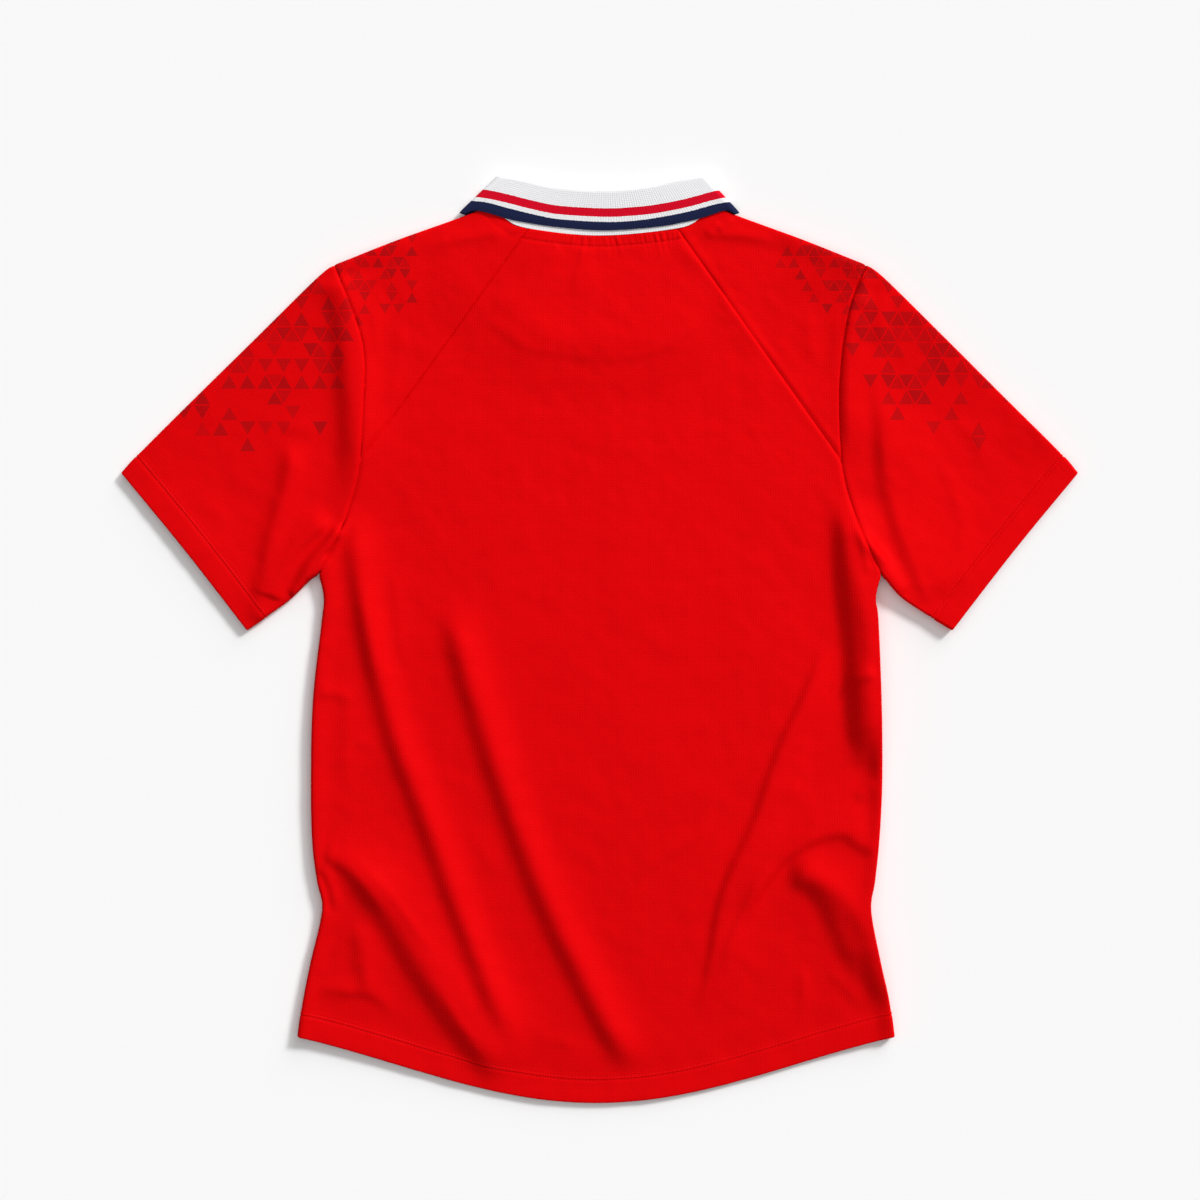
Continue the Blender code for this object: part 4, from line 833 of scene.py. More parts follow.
def cloth_shell(name, middle, out, outside, inside, look, ring=False, marks=None):
    """Make one closed shell of cloth from the grid of its middle and the ways out of it.

    The inner skin takes every second row and column. Marks give each grid point a place on
    the cloth, in millimetres, for its pattern.
    """
    rows, columns = middle.shape[:2]
    outside, inside = (np.broadcast_to(wall, (rows, columns))[..., None]
                       for wall in (outside, inside))
    outer, inner = middle + out * outside, (middle - out * inside)[::2, ::2]
    count = rows * columns
    top = np.arange(count).reshape(rows, columns)
    under = np.arange(inner.shape[0] * inner.shape[1]).reshape(inner.shape[:2]) + count
    if ring:
        top = np.hstack([top, top[:, :1]])
        under = np.hstack([under, under[:, :1]])
    faces = []
    for skin in (top, under):
        quads = np.stack([skin[:-1, :-1], skin[:-1, 1:], skin[1:, 1:], skin[1:, :-1]], -1)
        faces += quads.reshape(-1, 4).tolist()
    rims = [(top[0], under[0]), (top[-1], under[-1])]
    if not ring:
        rims += [(top[:, 0], under[:, 0]), (top[:, -1], under[:, -1])]
    for fine, coarse in rims:
        for cell in range(len(coarse) - 1):
            faces.append([int(fine[2 * cell]), int(fine[2 * cell + 1]), int(fine[2 * cell + 2]),
                          int(coarse[cell + 1]), int(coarse[cell])])
    data = bpy.data.meshes.new(name)
    points = np.concatenate([outer.reshape(-1, 3), inner.reshape(-1, 3)]) * MM
    data.from_pydata(points.tolist(), [], faces)
    if marks is not None:
        both = np.concatenate([marks.reshape(-1, 2), marks[::2, ::2].reshape(-1, 2)]) * MM
        corner = np.zeros(len(data.loops), np.int32)
        data.loops.foreach_get("vertex_index", corner)
        layer_map = data.uv_layers.new(name="cloth")
        layer_map.data.foreach_set("uv", both[corner].astype(np.float32).ravel())
    mesh = bmesh.new()
    mesh.from_mesh(data)
    bmesh.ops.recalc_face_normals(mesh, faces=mesh.faces)
    mesh.to_mesh(data)
    mesh.free()
    data.materials.append(look)
    data.shade_smooth()
    data.set_sharp_from_angle(angle=SHARP)
    return new_object(name, data)


def dressed(piece, node):
    """Put a finished piece in place of its CAD node."""
    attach(piece, "root")
    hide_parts(node)


# ---------------------------------------------------------------- the pieces
HEM_ROWS = [0.0, 0.15, 0.5, 1.1, 2.2, 4.0, 7.0, 10.0, 13.0, 16.0, 17.8, 18.6, 19.2, 19.8, 20.4,
            21.0, 21.6, 22.2, 22.8, 23.6, 24.8, 27.0]
ARM_ROLL = 80.0                                   # up the armhole, until rows end without a roll
FOLD_STEPS = (1.5, 3.5, 6.0)                      # beside a rolled edge
LAST_STEP = 0.7                                   # before the diagonal seam, at the most
SHOULDER_ROWS = 90
SLEEVE_REACH = 170.0                              # length of a sleeve, as its rows are counted
ARM_STEPS = (0.5, 1.2)                            # the first rows beside the armhole


def near_fold(roll, beyond=FOLD_STEPS):
    """Return distances from a folded edge: round its roll and then down its inner flank."""
    return tuple(roll * share for share in ROLL_SHARES) + tuple(roll + step for step in beyond)


def climb(low, high, pitch):
    """Return even steps from just above a low distance to a high one."""
    return list(np.linspace(low, high, max(2, round((high - low) / pitch)) + 1)[1:])


def body_plan(hem, neckline, diagonals, neck_rows, near, count, pitch):
    """Return the plan grid of a body panel."""
    left, right = CUTS["left"], CUTS["right"]
    side = left.side_seam.length
    rows = [("side", step) for step in HEM_ROWS + climb(HEM_ROWS[-1], side, pitch)]
    arm_reach = left.armhole.length * left.junction
    rows += [("arm", step) for step in climb(0.0, arm_reach, pitch)]
    reach = diagonals[0].length
    rows += [("neck", step) for step in climb(-reach, -neck_rows[0], pitch)]
    rows += [("neck", -step) for step in neck_rows[1:]]
    table = []
    for kind, step in odd_count(rows, len(HEM_ROWS) + 3):
        if kind == "side":
            ends = [cut.side_seam.at(step / side) for cut in (left, right)]
            table.append((*ends, 1.0, step, 0.0))
        elif kind == "arm":
            share = step / left.armhole.length
            ends = [cut.armhole.at(min(share, cut.junction)) for cut in (left, right)]
            table.append((*ends, 1.0 - float(ease(step / ARM_ROLL)), side + step, 0.0))
        else:
            share = 1.0 + step / reach
            ends = [diagonal.at(share) for diagonal in diagonals]
            table.append((*ends, 0.0, side + reach, share))
    starts, ends, rolled, from_hem, above = (np.array(column) for column in zip(*table))
    widths = np.linalg.norm(ends - starts, axis=1)
    shares = np.array([spread(width, near, count, part) for width, part in zip(widths, rolled)])
    hem_bend = 1.0 - ease((from_hem - HEM_BAND) / HEM_BEND_REACH)
    return patch(starts, ends, hem, neckline, shares, hem_bend, ease(above))


def make_back(look):
    """Make the back, from the hem to the back neckline."""
    neck_rows = [14.0, 13.0, 12.0, 11.2, 10.5, 9.8, 9.0, 8.0, 7.0, 6.0, 5.0, 4.0, 3.0, 2.0, 1.2,
                 0.5, 0.0]
    diagonals = (CUTS["left"].diagonal, CUTS["right"].diagonal)
    plan = body_plan(BACK_HEM, NECKLINE, diagonals, neck_rows, near_fold(ROLL_WIDTH),
                     count=196, pitch=3.0)
    middle, out = upper_layer(plan)
    middle = trimmed(middle, last_row=True, first_column=True, last_column=True)
    relief = band_relief(nearest(plan, BACK_HEM.points, HEM_REACH)[0]) + neck_relief(plan)
    for cut in CUTS.values():
        relief += seam_relief(plan, cut.diagonal.points, puff=0.2)
        relief += seam_relief(plan, cut.armhole.cut(0.0, cut.junction).points, puff=0.25)
    return cloth_shell("cloth_back", middle, out, CLOTH / 2 + relief, CLOTH / 2, look)


def make_front(look):
    """Make the front, which lies on the surface below the back."""
    diagonals = (CUTS["left"].front_diagonal, CUTS["right"].front_diagonal)
    left, right = (CUTS[name].front_neck.cut(CUTS[name].front_neck_share, 0.0)
                   for name in ("left", "right"))
    neckline = Path(np.vstack([left.points, right.points[::-1][1:]]))
    plan = body_plan(FRONT_HEM, neckline, diagonals, [4.0, 2.0, 1.0, 0.4, 0.0],
                     near_fold(FOLD_LEVEL - LYING), count=100, pitch=7.0)
    middle, out = lower_layer(plan)
    middle = trimmed(middle, last_row=True, first_column=True, last_column=True)
    from_hem = nearest(plan, FRONT_HEM.points, HEM_REACH)[0]
    relief = np.minimum(band_relief(from_hem) - HEM_EXTRA, 0.0)
    inside = CLOTH / 2 + HEM_EXTRA * ease((HEM_BAND - from_hem) / HEM_STEP)
    return cloth_shell("cloth_front", middle, out, CLOTH / 2 + relief, inside, look)


def shoulder_half(cut, seam, neck, layer_of, roll_of, steps):
    """Return one layer of a shoulder panel, from its folded edge to its diagonal seam."""
    along, shared = (np.array([0.0, *np.linspace(1.0, reach, SHOULDER_ROWS)]) / reach
                     for reach in (seam.length, cut.diagonal.length))
    fold, far = cut.shoulder.at(shared), seam.at(1.0 - along)
    lengths = np.linalg.norm(far - fold, axis=1)
    rolls = roll_of(fold)
    shares = []
    for length, roll in zip(lengths, rolls):
        near = np.array(near_fold(roll, ()))
        inner = np.linspace(near[-1], length, steps + 1)[1:]
        inner[-2] = max(length - LAST_STEP, (inner[-3] + length) / 2)
        shares.append(np.concatenate([near, inner]) / length)
    arm = cut.armhole.cut(1.0, cut.junction)
    plan = patch(fold, far, neck, arm, np.array(shares), 1.0 - along, along)
    plan[-1] = arm.at(np.array(shares)[-1])
    middle, out = layer_of(plan)
    return plan, middle, out


def make_shoulder(side, look):
    """Make the panel between a diagonal seam and an armhole, over the shoulder fold."""
    cut = CUTS[side]
    front_neck = cut.front_neck.cut(1.0, cut.front_neck_share)
    plan, upper, upper_out = shoulder_half(cut, cut.diagonal, SIDE_NECKS[side], upper_layer,
                                           roll_width, steps=50)
    _, lower, lower_out = shoulder_half(cut, cut.front_diagonal, front_neck, lower_layer,
                                        lower_roll, steps=25)
    relief = np.zeros((len(upper), upper.shape[1] + lower.shape[1] - 1))
    upper_relief = seam_relief(plan, cut.diagonal.points, puff=0.3) \
        + seam_relief(plan, cut.armhole.points, puff=0.1) + neck_relief(plan)
    relief[:, :upper.shape[1]] = upper_relief[:, ::-1]
    middle = np.concatenate([upper[:, ::-1], lower[:, 1:]], axis=1)
    out = np.concatenate([upper_out[:, ::-1], lower_out[:, 1:]], axis=1)
    if middle.shape[1] % 2 == 0:
        middle, out, relief = without_column((middle, out, relief), 4)
    middle = trimmed(middle, first_row=True, last_row=True, first_column=True, last_column=True)
    return cloth_shell("cloth_shoulder_" + side, middle, out, CLOTH / 2 + relief, CLOTH / 2, look)


def sleeve_half(cut, layer_of, roll, rows_at, pitch):
    """Return one layer of a sleeve, from armhole to cuff."""
    total = cut.armhole.length
    near = list(near_fold(roll))
    inner = climb(near[-1], total - near[-1], pitch)[:-1]
    stations = np.array(near + inner + [total - step for step in near[::-1]])
    shares = np.broadcast_to(stations / total, (len(rows_at), len(stations))).copy()
    reaches = np.linspace(0.0, 1.0, num=25)
    lengths = np.linalg.norm(cut.cuff.at(reaches) - cut.armhole.at(1.0 - reaches), axis=1)
    spans = np.interp(stations / total, reaches, lengths)
    from_cuff = np.array(rows_at, float)[:, None]
    band = np.minimum(from_cuff, HEM_ROWS[-1])
    beyond = np.clip(from_cuff - HEM_ROWS[-1], 0.0, None) / (rows_at[0] - HEM_ROWS[-1])
    to_cuff = band + beyond * (spans - HEM_ROWS[-1])
    rows = 1.0 - to_cuff / spans
    width = total + (cut.cuff.length - total) * rows
    held = len(near)
    shares[:, :held] = stations[:held] / width[:, :held]
    shares[:, -held:] = 1.0 - (total - stations[-held:]) / width[:, -held:]
    arm, cuff = cut.armhole.at(1.0 - shares), cut.cuff.at(shares)
    plan = arm * (1.0 - rows[..., None]) + cuff * rows[..., None]
    for path, weight in ((cut.sleeve_top, 1.0 - shares), (cut.underarm, shares)):
        straight = path.at(0.0) + (path.at(1.0) - path.at(0.0)) * rows[..., None]
        plan = plan + (path.at(rows) - straight) * weight[..., None]
    middle, out = layer_of(plan)
    return plan, middle, out


def make_sleeve(side, look):
    """Make a sleeve: a tube that lies flat, folded at its top and at the underarm."""
    cut = CUTS[side]
    body = np.linspace(SLEEVE_REACH, HEM_ROWS[-1], num=58)
    arm = [SLEEVE_REACH - step for step in ARM_STEPS]
    rows_at = odd_count([SLEEVE_REACH, *arm, *body[1:], *HEM_ROWS[-2::-1]], 5)
    plan, upper, upper_out = sleeve_half(cut, upper_layer, ROLL_WIDTH, rows_at, pitch=3.4)
    lower_plan, lower, lower_out = sleeve_half(cut, lower_layer, FOLD_LEVEL - LYING, rows_at,
                                               pitch=6.0)
    middle = np.concatenate([upper, lower[:, -2:0:-1]], axis=1)
    out = np.concatenate([upper_out, lower_out[:, -2:0:-1]], axis=1)
    plans = np.concatenate([plan, lower_plan[:, -2:0:-1]], axis=1)
    relief = band_relief(nearest(plans, cut.cuff.points)[0], CUFF_PULL[side])
    relief[:, :upper.shape[1]] += seam_relief(plan, cut.armhole.points, puff=0.3)
    relief[:, upper.shape[1]:] = np.minimum(relief[:, upper.shape[1]:] - HEM_EXTRA, 0.0)
    middle = trimmed(middle, first_row=True)
    if middle.shape[1] % 2:
        middle, out, relief = without_column((middle, out, relief), 12)
    return cloth_shell("cloth_sleeve_" + side, middle, out, CLOTH / 2 + relief, CLOTH / 2,
                       look, ring=True)


# ---------------------------------------------------------------- the collar
Guide = namedtuple("Guide", "back front_left front_right out")
STAND_STEPS, TURN_STEPS, LEAF_STEPS = 16, 9, 26   # points of its hairpin: stand, fold and leaf
FOLD_COLUMN = STAND_STEPS + TURN_STEPS // 2       # the one on the fold
FOLD_POWER = 0.7                                  # how fast the fold fills out at a crease
FRONT_END = 0.9                                   # share of a front half, before the crease


def collar_guide(table, middle, front_y, end_gap, out_angle, stretch=1.0):
    """Return the ring of one edge of the collar, as its back and its two front halves."""
    fronts = []
    for side in ("left", "right"):
        half = abs(getattr(table[0], side))
        curve = front_curve(front_y, half, table[0].y, end_gap)
        fronts.append(Path(curve.points * (-CUTS[side].sign, 1.0)))
    angle = math.radians(out_angle)
    return Guide(both_sides(table, middle), fronts[0], fronts[1],
                 stretch * np.array([math.cos(angle), math.sin(angle)]))


def collar_stations():
    """Return where the collar's ring is cut: stretch, share of it and turn of the crease."""
    flat = math.radians(90)
    front = list(np.linspace(0.0, FRONT_END, num=31))
    turns = list(np.linspace(-flat, flat, num=15))
    stations = [("front_left", share, -flat) for share in front]
    stations += [("left", 0.0, angle) for angle in turns]
    stations += [("back", share, flat) for share in np.linspace(0.0, 1.0, num=112)[1:-1]]
    stations += [("right", 1.0, angle) for angle in turns[::-1]]
    stations += [("front_right", share, -flat) for share in front[::-1]]
    return odd_count(stations, 2)


def guide_point(guide, stretch, share):
    """Return the plan point of a guide and its outward way at a station."""
    if stretch.startswith("front"):
        return getattr(guide, stretch).at(share), np.zeros(2)
    sign = {"left": -1.0, "back": 0.0, "right": 1.0}[stretch]
    return guide.back.at(share), guide.out * (sign, abs(sign))


def stripe_depth(stations, middle, around, to_edge, navy, gap):
    """Return how deep in the leaf's knit each point lies, so that the stripes run as set."""
    over, under = (nearest(middle[..., :2], rounded(run, steps=4)) for run in (NAVY_TOP, RED_FOOT))
    above_navy, above_foot = over[0] * over[3], under[0] * under[3]
    part = above_navy / np.maximum(above_navy - above_foot, LEAST)
    run_depth = np.where(above_navy < 0.0, navy + above_navy,
                         np.where(above_foot < 0.0, navy + gap * part, navy + gap + above_foot))
    shift = run_depth - to_edge
    leaf = to_edge.shape[1] - LEAF_STEPS
    shift[:, :leaf] = shift[:, leaf:leaf + 1]
    for side, first in (("left", True), ("right", False)):
        rows = [row for row, station in enumerate(stations) if station[0] == "front_" + side]
        turn = [row for row, station in enumerate(stations) if station[0] == side]
        start = turn[0] if first else turn[-1]
        fading = np.exp(-((around[rows] - around[start]) / FRONT_BLEND) ** 2)[:, None]
        shift[rows] = shift[start] * fading
    return to_edge + shift


def collar_section(guides, stretch, share, angle):
    """Return the collar's hairpin at one station: the middle of its wall and the ways out."""
    at_and_out = [guide_point(guide, stretch, share) for guide in guides]
    (seam_at, seam_out), (top_at, top_out), (edge_at, edge_out) = at_and_out
    up = unit(top_at - seam_at)
    sag = float(collar_sag(top_at[0])) if stretch == "back" else 0.0
    loft = COLLAR_LOFT * sag / COLLAR_SAG
    turn_r = (LEAF_TURN + loft - STAND_TURN) / 2
    near_stand = LEAF_CLOSE * max(math.sin(angle), 0.0)
    section = []
    for part in np.linspace(0.0, 1.0, STAND_STEPS):
        section.append((seam_at + (top_at - seam_at) * part,
                        seam_out + (top_out - seam_out) * part, STAND_TURN, -1.0, 0.0))
    for bend in np.linspace(0.0, 180.0, TURN_STEPS + 2)[1:-1]:
        cos, sin = math.cos(math.radians(bend)), math.sin(math.radians(bend))
        section.append((top_at + up * turn_r * sin * abs(math.sin(angle)) ** FOLD_POWER, top_out,
                        STAND_TURN + turn_r * (1 - cos), -cos, sin))
    for part in np.linspace(0.0, 1.0, LEAF_STEPS):
        section.append((top_at + (edge_at - top_at) * part, top_out + (edge_out - top_out) * part,
                        LEAF_TURN + loft * (1 - part) ** 2 - near_stand * part ** 3, 1.0, 0.0))
    points, ways = [], []
    for plan, outward, radius, across, along in section:
        ray = np.array([*outward * math.cos(angle), math.sin(angle)])
        points.append(np.array([*plan, FOLD_LEVEL - sag]) + ray * radius)
        ways.append(unit(ray * across + np.array([*up, 0.0]) * along))
    return points, ways


def make_collar(look, navy, gap):
    """Make the collar: a hairpin of stand, fold and leaf, carried round the neck.

    Navy and gap are the widths of the edge stripe and of the white above it.
    """
    tip = STAND_TURN / WHOLE_NECKLINE.length
    ends = WHOLE_NECKLINE.at(0.0) - WHOLE_NECKLINE.at(tip)
    seam = collar_guide(BACK_NECK, NECK_BACK, NECK_FRONT_Y, COLLAR_END,
                        180.0 - math.degrees(math.atan2(ends[1], ends[0])))
    seam = seam._replace(back=WHOLE_NECKLINE.cut(tip, 1.0 - tip))
    top = collar_guide(COLLAR_TOP, COLLAR_TOP_BACK, FRONT_FOLD_Y, COLLAR_END,
                       CREASE_OUT, CREASE_STRETCH)
    edge = collar_guide(LEAF_EDGE, LEAF_EDGE_BACK, FRONT_LEAF_Y, COLLAR_POINT,
                        CREASE_OUT, CREASE_STRETCH)
    stations = collar_stations()
    sections = [collar_section((seam, top, edge), *station) for station in stations]
    middle, out = (np.array(part) for part in zip(*sections))
    steps = np.linalg.norm(np.diff(middle, axis=1), axis=-1)
    to_edge = np.cumsum(np.hstack([np.zeros((len(steps), 1)), steps[:, ::-1]]), axis=1)[:, ::-1]
    ring = np.linalg.norm(np.diff(middle[:, FOLD_COLUMN], axis=0), axis=-1)
    around = np.concatenate([[0.0], np.cumsum(ring)])
    depth = stripe_depth(stations, middle, around, to_edge, navy, gap)
    marks = np.stack([np.broadcast_to(around[:, None], to_edge.shape), depth], -1)
    wall = RIB / 2 * (1.0 - LEAF_THIN * ease(1.0 - to_edge / THIN_REACH))
    middle = trimmed(middle, first_column=True)
    return cloth_shell("cloth_collar", middle, out, wall, wall, look, marks=marks)


# ---------------------------------------------------------------- materials
def add(tree, kind, inputs=None, **settings):
    """Add a node with its settings, its values and its links."""
    node = tree.nodes.new(kind)
    for name, value in settings.items():
        setattr(node, name, value)
    for socket, value in (inputs or {}).items():
        if isinstance(value, bpy.types.NodeSocket):
            tree.links.new(value, node.inputs[socket])
        else:
            node.inputs[socket].default_value = value
    return node


def new_material(name):
    """Return an empty node material and its shader."""
    made = bpy.data.materials.new(name)
    made.use_nodes = True
    return made, made.node_tree, made.node_tree.nodes["Principled BSDF"]


def set_constants(node, values):
    """Set values on inputs that nothing is linked to."""
    for name, value in values.items():
        node.inputs[name].default_value = value


def calc(tree, operation, *values):
    """Return the result of one sum on numbers or sockets."""
    return add(tree, "ShaderNodeMath", dict(enumerate(values)), operation=operation).outputs[0]


def combined(tree, *values):
    """Return a vector made of up to three numbers or sockets."""
    return add(tree, "ShaderNodeCombineXYZ", dict(enumerate(values))).outputs[0]


def split(tree, vector):
    """Return the three parts of a vector."""
    return add(tree, "ShaderNodeSeparateXYZ", {0: vector}).outputs


def ripple(tree, along, pitch, lag=0.0):
    """Return a wave between -1 and 1 with a pitch in metres."""
    return calc(tree, "SINE", calc(tree, "MULTIPLY_ADD", along, math.tau / pitch, lag))


def noise(tree, place, size, detail, roughness=0.5):
    """Return smooth noise of a size in metres, between 0 and 1."""
    return add(tree, "ShaderNodeTexNoise", {"Vector": place, "Scale": 1 / size, "Detail": detail,
                                            "Roughness": roughness}).outputs[0]


def dye(tree, colour):
    """Return a plain colour."""
    output = add(tree, "ShaderNodeRGB").outputs[0]
    output.default_value = (*colour, 1.0)
    return output


def mixed(tree, factor, first, second):
    """Return the first colour, or the second where the factor is 1."""
    return add(tree, "ShaderNodeMix", {"Factor": factor, "A": first, "B": second},
               data_type="RGBA").outputs["Result"]


def dressed_shader(tree, shader, colour, bump, values):
    """Link a colour and a relief to a shader, and set its constants."""
    tree.links.new(colour, shader.inputs["Base Color"])
    tree.links.new(bump.outputs[0], shader.inputs["Normal"])
    set_constants(shader, values)


Print = namedtuple("Print", "x y reach cell")
PRINTS = {                                        # metres: middle, reach and size of the triangles
    "shoulder_left": Print(-0.212, 0.336, 0.066, 0.0115),
    "shoulder_right": Print(0.212, 0.336, 0.066, 0.0115),
    "sleeve_left": Print(-0.300, 0.284, 0.112, 0.0155),
    "sleeve_right": Print(0.300, 0.284, 0.112, 0.0155),
}
PRINT_DENSITY = 1.08        # share of the triangles that are printed in the middle: all
PRINT_GAP = 0.045           # bare cloth round a triangle, as a share of its height
PRINT_FAINT = 0.45          # darkness of the faintest one


def mosaic(tree, place, pattern):
    """Return how dark a tonal print is: small triangles that thin out from its middle."""
    tall = pattern.cell * math.sqrt(0.75)
    x, y, _ = split(tree, place)
    row = calc(tree, "MULTIPLY", y, 1 / tall)
    across = calc(tree, "MULTIPLY", x, 1 / pattern.cell)
    column = calc(tree, "MULTIPLY_ADD", row, -0.5, across)
    in_row, in_column = calc(tree, "FRACT", row), calc(tree, "FRACT", column)
    row_at, column_at = calc(tree, "FLOOR", row), calc(tree, "FLOOR", column)
    both = calc(tree, "ADD", in_row, in_column)
    upper = calc(tree, "GREATER_THAN", both, 1.0)
    third = calc(tree, "MULTIPLY_ADD", upper, 1 / 3, 1 / 3)
    middle_row = calc(tree, "ADD", row_at, third)
    middle_column = calc(tree, "MULTIPLY_ADD", middle_row, 0.5,
                         calc(tree, "ADD", column_at, third))
    off_x = calc(tree, "MULTIPLY_ADD", middle_column, pattern.cell, -pattern.x)
    off_y = calc(tree, "MULTIPLY_ADD", middle_row, tall, -pattern.y)
    off = add(tree, "ShaderNodeVectorMath", {0: combined(tree, off_x, off_y)},
              operation="LENGTH").outputs["Value"]
    density = calc(tree, "MULTIPLY_ADD", off, -1.0 / pattern.reach, PRINT_DENSITY)
    cell = combined(tree, column_at, row_at, upper)
    chance = add(tree, "ShaderNodeTexWhiteNoise", {"Vector": cell}, noise_dimensions="3D")
    tone = add(tree, "ShaderNodeSeparateColor", {0: chance.outputs["Color"]})
    printed = calc(tree, "LESS_THAN", chance.outputs["Value"], density)
    sides = [calc(tree, "ABSOLUTE", calc(tree, "SUBTRACT", upper, part))
             for part in (in_row, in_column)]
    sides.append(calc(tree, "ABSOLUTE", calc(tree, "SUBTRACT", 1.0, both)))
    inset = calc(tree, "MINIMUM", calc(tree, "MINIMUM", sides[0], sides[1]), sides[2])
    clear = calc(tree, "GREATER_THAN", inset, PRINT_GAP)
    strength = calc(tree, "MULTIPLY_ADD", tone.outputs[1], 1.0 - PRINT_FAINT, PRINT_FAINT)
    return calc(tree, "MULTIPLY", calc(tree, "MULTIPLY", printed, clear), strength)


LOOP_SHARE, YARN_SHARE = 0.25, 1.2      # of the relief: loops and the yarn's unevenness
RIB_SHARE, ROW_SHARE = 0.35, 0.2        # and of the collar's: ribs and rows


def knit_material(name, cloth, turn, pattern=None):
    """Polyester interlock knit, dyed through: fine columns of loops, a dry low sheen.

    Real columns are 0.8 mm apart, too fine to show from two metres, so they are drawn
    at the pitch of the settings. The turn lays them along the piece's own grain.
    """
    made, tree, shader = new_material(name)
    place = add(tree, "ShaderNodeTexCoord").outputs["Object"]
    grain = add(tree, "ShaderNodeMapping", {"Vector": place, "Rotation": (0.0, 0.0, turn)})
    across, along, _ = split(tree, grain.outputs[0])
    wales = ripple(tree, across, cloth.wale)
    courses = ripple(tree, along, cloth.course, wales)
    yarn = noise(tree, place, cloth.yarn, 2.0, 0.6)
    cloud = noise(tree, place, cloth.cloud, 3.0, 0.55)
    loops = calc(tree, "MULTIPLY_ADD", calc(tree, "ADD", wales, courses), LOOP_SHARE, 0.5)
    height = calc(tree, "MULTIPLY_ADD", yarn, YARN_SHARE, loops)
    bump = add(tree, "ShaderNodeBump", {"Height": height, "Distance": cloth.relief})
    colour = dye(tree, cloth.colour)
    if pattern:
        dark = dye(tree, cloth.print_colour)
        colour = mixed(tree, mosaic(tree, place, pattern), colour, dark)
    shade = calc(tree, "MULTIPLY_ADD", calc(tree, "ADD", cloud, yarn), cloth.mottle,
                 1.0 - cloth.mottle)
    # Painted light: the colour is multiplied by a linear gradient over position, paler to the
    # right and top and darker to the left and bottom. It stands in for light that falls off across
    # the garment. After this, shade holds both the random mottle and that painted light.
    painted_light_falloff = add(tree, "ShaderNodeVectorMath", {0: place, 1: tuple(cloth.painted_light_falloff)},
                operation="DOT_PRODUCT").outputs["Value"]
    shade = calc(tree, "MULTIPLY", shade, calc(tree, "ADD", painted_light_falloff, 1.0))
    tinted = add(tree, "ShaderNodeVectorMath", {0: colour, 1: shade}, operation="MULTIPLY")
    dressed_shader(tree, shader, tinted.outputs[0], bump,
                   {"Roughness": cloth.roughness, "Specular IOR Level": cloth.gloss,
                    "Sheen Weight": cloth.sheen, "Sheen Roughness": 0.35,
                    "Sheen Tint": (1.0, 0.25, 0.2, 1.0)})
    return made


COTTON_YARN = 0.0012        # metres: size of its unevenness
STRIPE_WOBBLE = 0.0004      # metres by which a stripe's edge strays from stitch to stitch


def collar_material(settings):
    """Flat-knit cotton rib, yarn-dyed: matt, with ribs square to the edge and two stripes."""
    made, tree, shader = new_material("cotton flat rib knit, striped")
    place = add(tree, "ShaderNodeUVMap", uv_map="cloth").outputs[0]
    around, depth, _ = split(tree, place)
    yarn = noise(tree, add(tree, "ShaderNodeTexCoord").outputs["Object"], COTTON_YARN, 2.0)
    ribs = ripple(tree, around, settings.rib)
    courses = ripple(tree, depth, settings.course)
    wobble = calc(tree, "MULTIPLY_ADD", yarn, 2 * STRIPE_WOBBLE, -STRIPE_WOBBLE)
    level = calc(tree, "ADD", depth, wobble)
    colour = dye(tree, settings.white)
    red_foot = settings.navy_width + settings.gap_width
    for start, end, tone in ((-1.0, settings.navy_width, settings.navy),
                             (red_foot, red_foot + settings.red_width, settings.red)):
        above = calc(tree, "GREATER_THAN", level, start)
        below = calc(tree, "LESS_THAN", level, end)
        colour = mixed(tree, calc(tree, "MULTIPLY", above, below), colour, dye(tree, tone))
    height = calc(tree, "ADD", calc(tree, "MULTIPLY_ADD", ribs, RIB_SHARE, 0.5),
                  calc(tree, "MULTIPLY_ADD", courses, ROW_SHARE, yarn))
    bump = add(tree, "ShaderNodeBump", {"Height": height, "Distance": settings.relief})
    dressed_shader(tree, shader, colour, bump, {"Roughness": 0.9, "Specular IOR Level": 0.1})
    return made


def thread_material(cloth):
    """Spun polyester sewing thread in the body's red: round, with a slight gloss."""
    made, _, shader = new_material("spun polyester thread")
    set_constants(shader, {"Base Color": (*cloth.colour, 1.0), "Roughness": 0.5,
                           "Specular IOR Level": 0.12})
    return made


# ---------------------------------------------------------------- stitches
ROWS_OFF, CAST = 0.05, 0.2  # metres off the surface from where rows are cast, and how far


